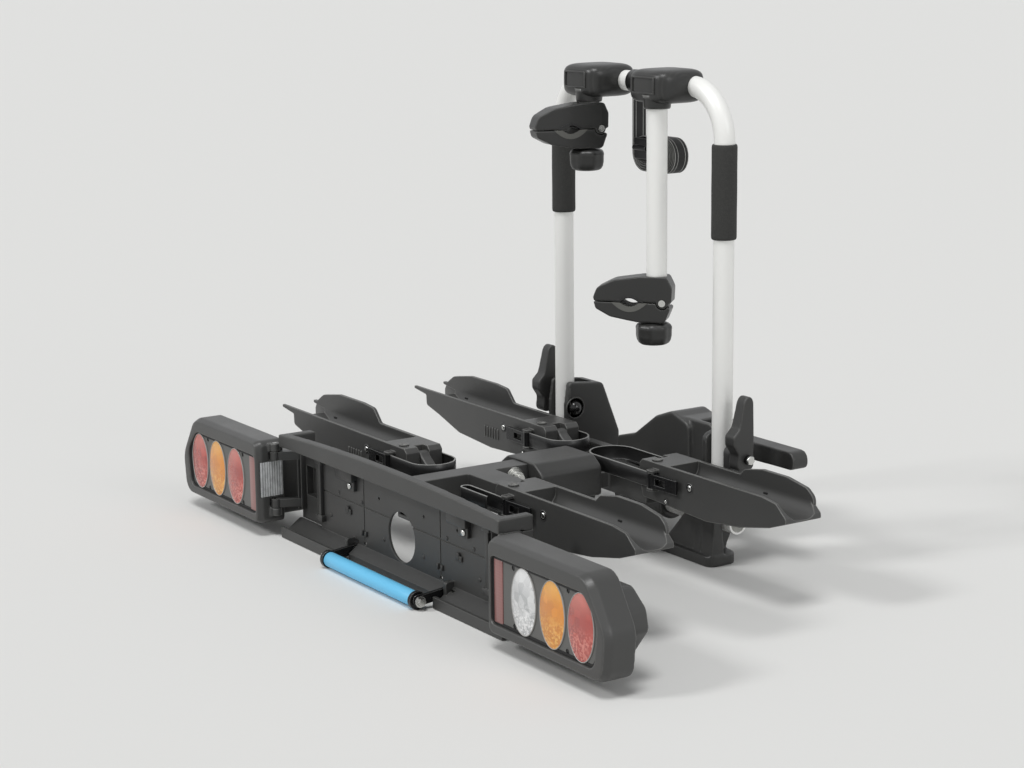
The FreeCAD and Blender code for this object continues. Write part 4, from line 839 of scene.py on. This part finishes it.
anodised, anodised_tree, anodised_shader = new_material(
    "satin_anodised_aluminium", "#f6f6f3", {"Metallic": 0.05, "Roughness": 0.36})
tube_place = add(anodised_tree, "ShaderNodeTexCoord")
tube_stretch = add(anodised_tree, "ShaderNodeMapping", {"Scale": (1.0, 1.0, 0.02)},
                   {"Vector": tube_place.outputs["Object"]})
tube_lines = add(anodised_tree, "ShaderNodeTexNoise", {"Scale": 900.0, "Detail": 2.0},
                 {"Vector": tube_stretch.outputs["Vector"]})
tube_bump = add(anodised_tree, "ShaderNodeBump", {"Strength": 0.12, "Distance": 0.0002},
                {"Height": tube_lines.outputs["Fac"]})
anodised_tree.links.new(tube_bump.outputs["Normal"], anodised_shader.inputs["Normal"])
tube_tone = add(anodised_tree, "ShaderNodeMapRange", {"To Min": 0.33, "To Max": 0.44},
                {"Value": tube_lines.outputs["Fac"]})
anodised_tree.links.new(tube_tone.outputs["Result"], anodised_shader.inputs["Roughness"])
for node in ("hoop_tube", "arm_tube_left", "arm_tube_right", "axle_tube"):
    finish_node(node, anodised)

# Foam grips
# Closed-cell foam sleeves on both legs, with a skin that is slightly open and dull.

foam, foam_tree, foam_shader = new_material("closed_cell_foam", "#343432", {"Roughness": 0.85})
foam_place = add(foam_tree, "ShaderNodeTexCoord")
# The pores are drawn coarser than real ones, so that they show.
foam_cells = add(foam_tree, "ShaderNodeTexVoronoi", {"Scale": 1 / 0.0016},
                 {"Vector": foam_place.outputs["Object"]})
foam_mix = add(foam_tree, "ShaderNodeMix", {"data_type": "RGBA", 6: colour("#2b2b2a"), 7: colour("#3b3b39")},
               {0: foam_cells.outputs["Distance"]})
foam_tree.links.new(foam_mix.outputs[2], foam_shader.inputs["Base Color"])
foam_bump = add(foam_tree, "ShaderNodeBump", {"Strength": 0.5, "Distance": 0.0004},
                {"Height": foam_cells.outputs["Distance"]})
foam_tree.links.new(foam_bump.outputs["Normal"], foam_shader.inputs["Normal"])
foam_low = 0.361
foam_high = 0.495
bore = 0.0151
leg_x = 0.198
hoop_y = -0.105
foam_profile = [
    (foam_low, bore), (foam_low, 0.0168), (foam_low + 0.0012, 0.0178), (foam_low + 0.004, 0.0182),
    (0.40, 0.0181), (0.43, 0.0183), (0.46, 0.0181), (foam_high - 0.004, 0.0182),
    (foam_high - 0.0012, 0.0178), (foam_high, 0.0168), (foam_high, bore)]
for side, sign in sides.items():
    sleeve = lathe("foam_sleeve_" + side, foam_profile, (sign * leg_x, hoop_y, 0), (0, 0, 1), 48, foam)
    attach(sleeve, "hoop")
    if side == "left":
        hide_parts("foam_grips")

# Knuckles on the hoop's bar
# Hubs moulded in two shells of black nylon that close round the bar, with a raised
# frame on the front and a collar below for the arm.

black_nylon = coated("black_nylon", "#282827", "#7a7a77", 0.34, 0.0007, 0.0003)
# Each arm as (x, height of its jaw line, turn of its clamp in degrees).
arm_places = {"left": (-0.070, 0.502, -12.0), "right": (0.097, 0.263, -47.0)}
arm_y = -0.147
bar_z = 0.572
hub_x = -0.007
hub_y = -0.1245
collar_z = 0.541
hub_half = (0.043, 0.0435, 0.0245)
hub_power = 4.6
hub_rings = 24
hub_steps = 64
collar_profile = [(0, 0.0156), (0, 0.0188), (0.003, 0.0196), (0.014, 0.0205), (0.020, 0.0225)]
# The raised frame's four bars, as (x from, x to, z from, z to) about the hub's centre.
rim_bars = ((-0.024, 0.024, 0.012, 0.0145), (-0.024, 0.024, -0.010, -0.0075),
            (-0.0265, -0.0235, -0.010, 0.0145), (0.0235, 0.0265, -0.010, 0.0145))
rim_y = (-0.0445, -0.0405)
for side in sides:
    arm_x = arm_places[side][0]
    centre = Vector((arm_x + hub_x, hub_y, bar_z))
    points = []
    for level_step in range(hub_rings + 1):
        polar = math.pi * level_step / hub_rings - math.pi / 2
        for step in range(hub_steps):
            angle = 2 * math.pi * step / hub_steps
            way = Vector((math.sin(polar), math.cos(polar) * math.cos(angle),
                          math.cos(polar) * math.sin(angle)))
            size = sum(abs(way[axis] / hub_half[axis]) ** hub_power for axis in range(3)) ** (-1 / hub_power)
            points.append(centre + way * size)
    hub = shape_from("hub_" + side, points, skin(hub_rings + 1, hub_steps), black_nylon)
    weld = hub.modifiers.new("weld", "WELD")
    weld.merge_threshold = 0.0002
    settle(hub)
    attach(hub, body_of["knuckle_" + side])
    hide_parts("knuckle_" + side)
    collar = lathe("collar_" + side, collar_profile, (arm_x, arm_y, collar_z), (0, 0, 1), 48, black_nylon)
    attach(collar, body_of["knuckle_" + side])
    boxes = [(centre + Vector((left, rim_y[0], low)), centre + Vector((right, rim_y[1], high)))
             for left, right, low, high in rim_bars]
    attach(blocks("hub_frame_" + side, boxes, black_nylon, 0.0008), body_of["knuckle_" + side])

# Frame clamps
# Nylon jaws whose noses narrow towards the tip. The lower one is lined with toothed grey rubber, and a round
# knob with shallow lobes closes them. Near-black crescents on the upper jaw's sides are painted shade of the
# hollow eye.

nose_start = 0.030
nose_end = 0.092
heel_start = -0.012
heel_length = 0.013


def clamp_frame(side):
    """Where a clamp's own frame stands: s along the nose, t across, z from the jaw line."""
    x, z, yaw = arm_places[side]
    return Matrix.Translation((x, arm_y, z)) @ Matrix.Rotation(math.radians(-90 + yaw), 4, "Z")


def narrowed(side):
    """Sculpts a clamp half: it gets thinner towards its tip and a little towards its heel."""
    there = clamp_frame(side)
    back = there.inverted()

    def move(point):
        own = back @ point
        if own.x > nose_start:
            share = (own.x - nose_start) / (nose_end - nose_start)
            own.y *= 1 - 0.34 * share * share
        if own.x < heel_start:
            share = (heel_start - own.x) / heel_length
            own.y *= 1 - 0.12 * min(share, 1)
        return there @ own

    return move


rubber, rubber_tree, rubber_shader = new_material("grey_lining_rubber", "#62625e", {"Roughness": 0.7})
grain(rubber_tree, rubber_shader, 0.0012, 0.0003)
# The jaws' round opening, the eye, stands at eye_s along the nose. The lining and the
# crescents on the jaws' sides are centred on it.
eye_s = 0.037
eye_half = 0.0138
jaw_face = 0.0196
jaw_inside = 0.0180
slices = 40
lining_half = 0.0162
lining_side = 0.0172
tooth_pitch = 0.0042
tooth_rise = 0.0007
thinnest = 0.0004
knob_s = 0.004
knob_steps = 96
knob_lobes = 8
knob_profile = [(-0.006, 0.0040), (-0.0285, 0.0040), (-0.0286, 0.0080), (-0.0305, 0.0090), (-0.0315, 0.0200),
                (-0.0335, 0.0240), (-0.0365, 0.0258), (-0.0390, 0.0262), (-0.0400, 0.0258),
                (-0.0500, 0.0256), (-0.0560, 0.0244), (-0.0600, 0.0222), (-0.0622, 0.0190),
                (-0.0630, 0.0150), (-0.0632, 0.0080)]
for side in sides:
    narrow = narrowed(side)
    softened("clamp_head_" + side, 0.0013, 7, 0.4, black_nylon, narrow)
    softened("clamp_jaw_" + side, 0.0011, 9, 0.4, black_nylon, narrow)
    there = clamp_frame(side)
    points = []
    for height, radius in knob_profile:
        for step in range(knob_steps):
            angle = 2 * math.pi * step / knob_steps
            lobed = radius * (1 + 0.025 * math.cos(knob_lobes * angle) * min(1, radius / 0.024) ** 4)
            points.append(there @ Vector((knob_s + lobed * math.cos(angle), lobed * math.sin(angle),
                                          height)))
    faces = skin(len(knob_profile), knob_steps, flipped=True)
    faces.extend(ends(len(knob_profile), knob_steps, flipped=True))
    knob = shaded(shape_from("knob_" + side, points, faces, black_nylon), flat_ends=True)
    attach(knob, body_of["clamp_knob_" + side])
    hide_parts("clamp_knob_" + side)
    # The lower crescents are grey rubber; the upper ones are near-black plates painted as the shade in the
    # eye's hollow.
    for part, node, up, half_length, depth, finish in (
            ("lower", "clamp_jaw_", -1, 0.0260, 0.0128, rubber),
            ("upper_shade", "clamp_head_", 1, 0.0200, 0.0082, screw_black)):
        points = []
        faces = []
        for t in (-1, 1):
            faces.extend(skin(slices + 1, 4, first=len(points)))
            for step in range(slices + 1):
                d = half_length * (2 * step / slices - 1)
                near_edge = 0.0006 + 0.0056 * max(0.0, 1 - (d / eye_half) ** 2)
                far_edge = max(0.0010 + depth * (1 - (d / half_length) ** 2), near_edge + thinnest)
                for out, height in ((jaw_inside, near_edge), (jaw_face, near_edge),
                                    (jaw_face, far_edge), (jaw_inside, far_edge)):
                    points.append(narrow(there @ Vector((eye_s + d, t * out, up * height))))
        crescent = shape_from("jaw_" + part + "_crescent_" + side, points, faces, finish)
        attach(crescent, body_of[node + side])
    points = []
    for step in range(slices + 1):
        d = lining_half * (2 * step / slices - 1)
        hollow = max(0.0, 1 - (d / eye_half) ** 2)
        tooth = tooth_rise * math.cos(2 * math.pi * d / tooth_pitch)
        top = -0.0008 - 0.0060 * hollow + (tooth if hollow > 0.08 else 0)
        bottom = min(-0.0010 - 0.0084 * max(0.0, 1 - (d / 0.0163) ** 2), top - thinnest)
        for t, z in ((-lining_side, top), (-lining_side, bottom), (lining_side, bottom), (lining_side, top)):
            points.append(there @ Vector((eye_s + d, t, z)))
    lining = shape_from("jaw_lining_" + side, points, skin(slices + 1, 4) + ends(slices + 1, 4), rubber)
    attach(lining, "clamp_jaw_" + side)
    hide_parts("jaw_pad_" + side)

# Securing strap
# Woven polyester webbing 25 mm wide, rolled up flat below the bar, with a pale line near each edge that is
# painted highlight, and a pale thread further in on each side.

coil_x = 0.050
coil_z = 0.470
coil_half = 0.025
coil_turns = 6
coil_core = 0.008
coil_step = 0.0017
bend_steps = 14
riser_steps = 8
edge_highlight_line = 0.0117
inner_thread = 0.0065
webbing_half = 0.0125
half_thick = 0.0008
loop_profile = [(-webbing_half, 0.0153), (-webbing_half, 0.0168), (-webbing_half + 0.0005, 0.0173),
                (webbing_half - 0.0005, 0.0173), (webbing_half, 0.0168), (webbing_half, 0.0153)]

webbing, webbing_tree, webbing_shader = new_material("woven_polyester", "#1b1b1b", {"Roughness": 0.6})
webbing_place = add(webbing_tree, "ShaderNodeTexCoord")
webbing_parts = add(webbing_tree, "ShaderNodeSeparateXYZ", {}, {"Vector": webbing_place.outputs["Object"]})
webbing_off = add(webbing_tree, "ShaderNodeMath", {"operation": "ADD", 1: -hoop_y},
                  {0: webbing_parts.outputs["Y"]})
webbing_side = add(webbing_tree, "ShaderNodeMath", {"operation": "ABSOLUTE"}, {0: webbing_off.outputs[0]})
# Painted highlight: a pale line near each edge of the webbing. The line further in is a pale thread.
webbing_edge_highlight = add(webbing_tree, "ShaderNodeMath", {"operation": "COMPARE", 1: edge_highlight_line, 2: 0.0006},
                   {0: webbing_side.outputs[0]})
webbing_inner = add(webbing_tree, "ShaderNodeMath", {"operation": "COMPARE", 1: inner_thread, 2: 0.0005},
                    {0: webbing_side.outputs[0]})
webbing_highlight_and_thread_lines = add(webbing_tree, "ShaderNodeMath", {"operation": "MAXIMUM"},
                    {0: webbing_edge_highlight.outputs[0], 1: webbing_inner.outputs[0]})
webbing_mix = add(webbing_tree, "ShaderNodeMix",
                  {"data_type": "RGBA", 6: colour("#1b1b1b"), 7: colour("#b4b4b1")},
                  {0: webbing_highlight_and_thread_lines.outputs[0]})
webbing_tree.links.new(webbing_mix.outputs[2], webbing_shader.inputs["Base Color"])
# The wave node draws a rib every 0.31 of this size, so one every 1.3 mm.
webbing_weave = add(webbing_tree, "ShaderNodeTexWave", {"Scale": 1 / 0.004, "bands_direction": "Y"},
                    {"Vector": webbing_place.outputs["Object"]})
webbing_bump = add(webbing_tree, "ShaderNodeBump", {"Strength": 0.4, "Distance": 0.0004},
                   {"Height": webbing_weave.outputs["Fac"]})
webbing_tree.links.new(webbing_bump.outputs["Normal"], webbing_shader.inputs["Normal"])

path = []
for half_turn in range(2 * coil_turns):
    way = 1 if half_turn % 2 == 0 else -1
    radius = coil_core + half_turn * coil_step
    centre = Vector((coil_x + way * coil_half, coil_z - way * coil_step / 2))
    steps = bend_steps if half_turn < 2 * coil_turns - 1 else bend_steps // 2
    for step in range(steps + 1):
        angle = math.pi * step / bend_steps
        path.append((centre.x + way * radius * math.sin(angle), centre.y + way * radius * math.cos(angle)))
riser_x = path[-1][0]
riser_top = bar_z - 0.0163
for step in range(1, riser_steps + 1):
    path.append((riser_x, path[-1][1] + (riser_top - path[-1][1]) * step / riser_steps))
webbing_section = [
    (-half_thick, -webbing_half + 0.0004), (-half_thick * 0.4, -webbing_half),
    (half_thick * 0.4, -webbing_half), (half_thick, -webbing_half + 0.0004),
    (half_thick, webbing_half - 0.0004), (half_thick * 0.4, webbing_half),
    (-half_thick * 0.4, webbing_half), (-half_thick, webbing_half - 0.0004)]
points = []
for place, here in enumerate(path):
    run = (Vector(path[min(place + 1, len(path) - 1)]) - Vector(path[max(place - 1, 0)])).normalized()
    for out, along in webbing_section:
        points.append((here[0] + run.y * out, hoop_y + along, here[1] - run.x * out))
faces = skin(len(path), len(webbing_section)) + ends(len(path), len(webbing_section))
roll_piece = shape_from("strap_roll", points, faces, webbing)
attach(roll_piece, "hoop")
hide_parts("securing_strap")
loop = lathe("strap_loop", loop_profile, (riser_x, hoop_y, bar_z), (1, 0, 0), 40, strap_rubber)
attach(loop, "hoop")

# Levers of the hoop's hinges and of the coupling
# Thick nylon levers with rounded ends. The cam levers get slimmer towards their top.

slim_from = 0.085
slim_rise = 0.055
cam_x = 0.245
cam_y = -0.093


def slimmed(point):
    """Sculpts a cam lever: it narrows towards its top."""
    share = min(max((point.z - slim_from) / slim_rise, 0), 1)
    middle = math.copysign(cam_x, point.x)
    return Vector((middle + (point.x - middle) * (1 - 0.2 * share),
                   cam_y + (point.y - cam_y) * (1 - 0.34 * share), point.z))


softened("cam_lever_left", 0.0014, 7, 0.35, moulded_nylon, slimmed)
softened("cam_lever_right", 0.0014, 7, 0.35, moulded_nylon, slimmed)
softened("coupling_lever", 0.0014, 7, 0.35, moulded_nylon)

# Coupling housing
# A large moulded hood over the cast coupling, softly rounded.

softened("coupling_housing", 0.0018, 8, 0.3, lamp_shell)
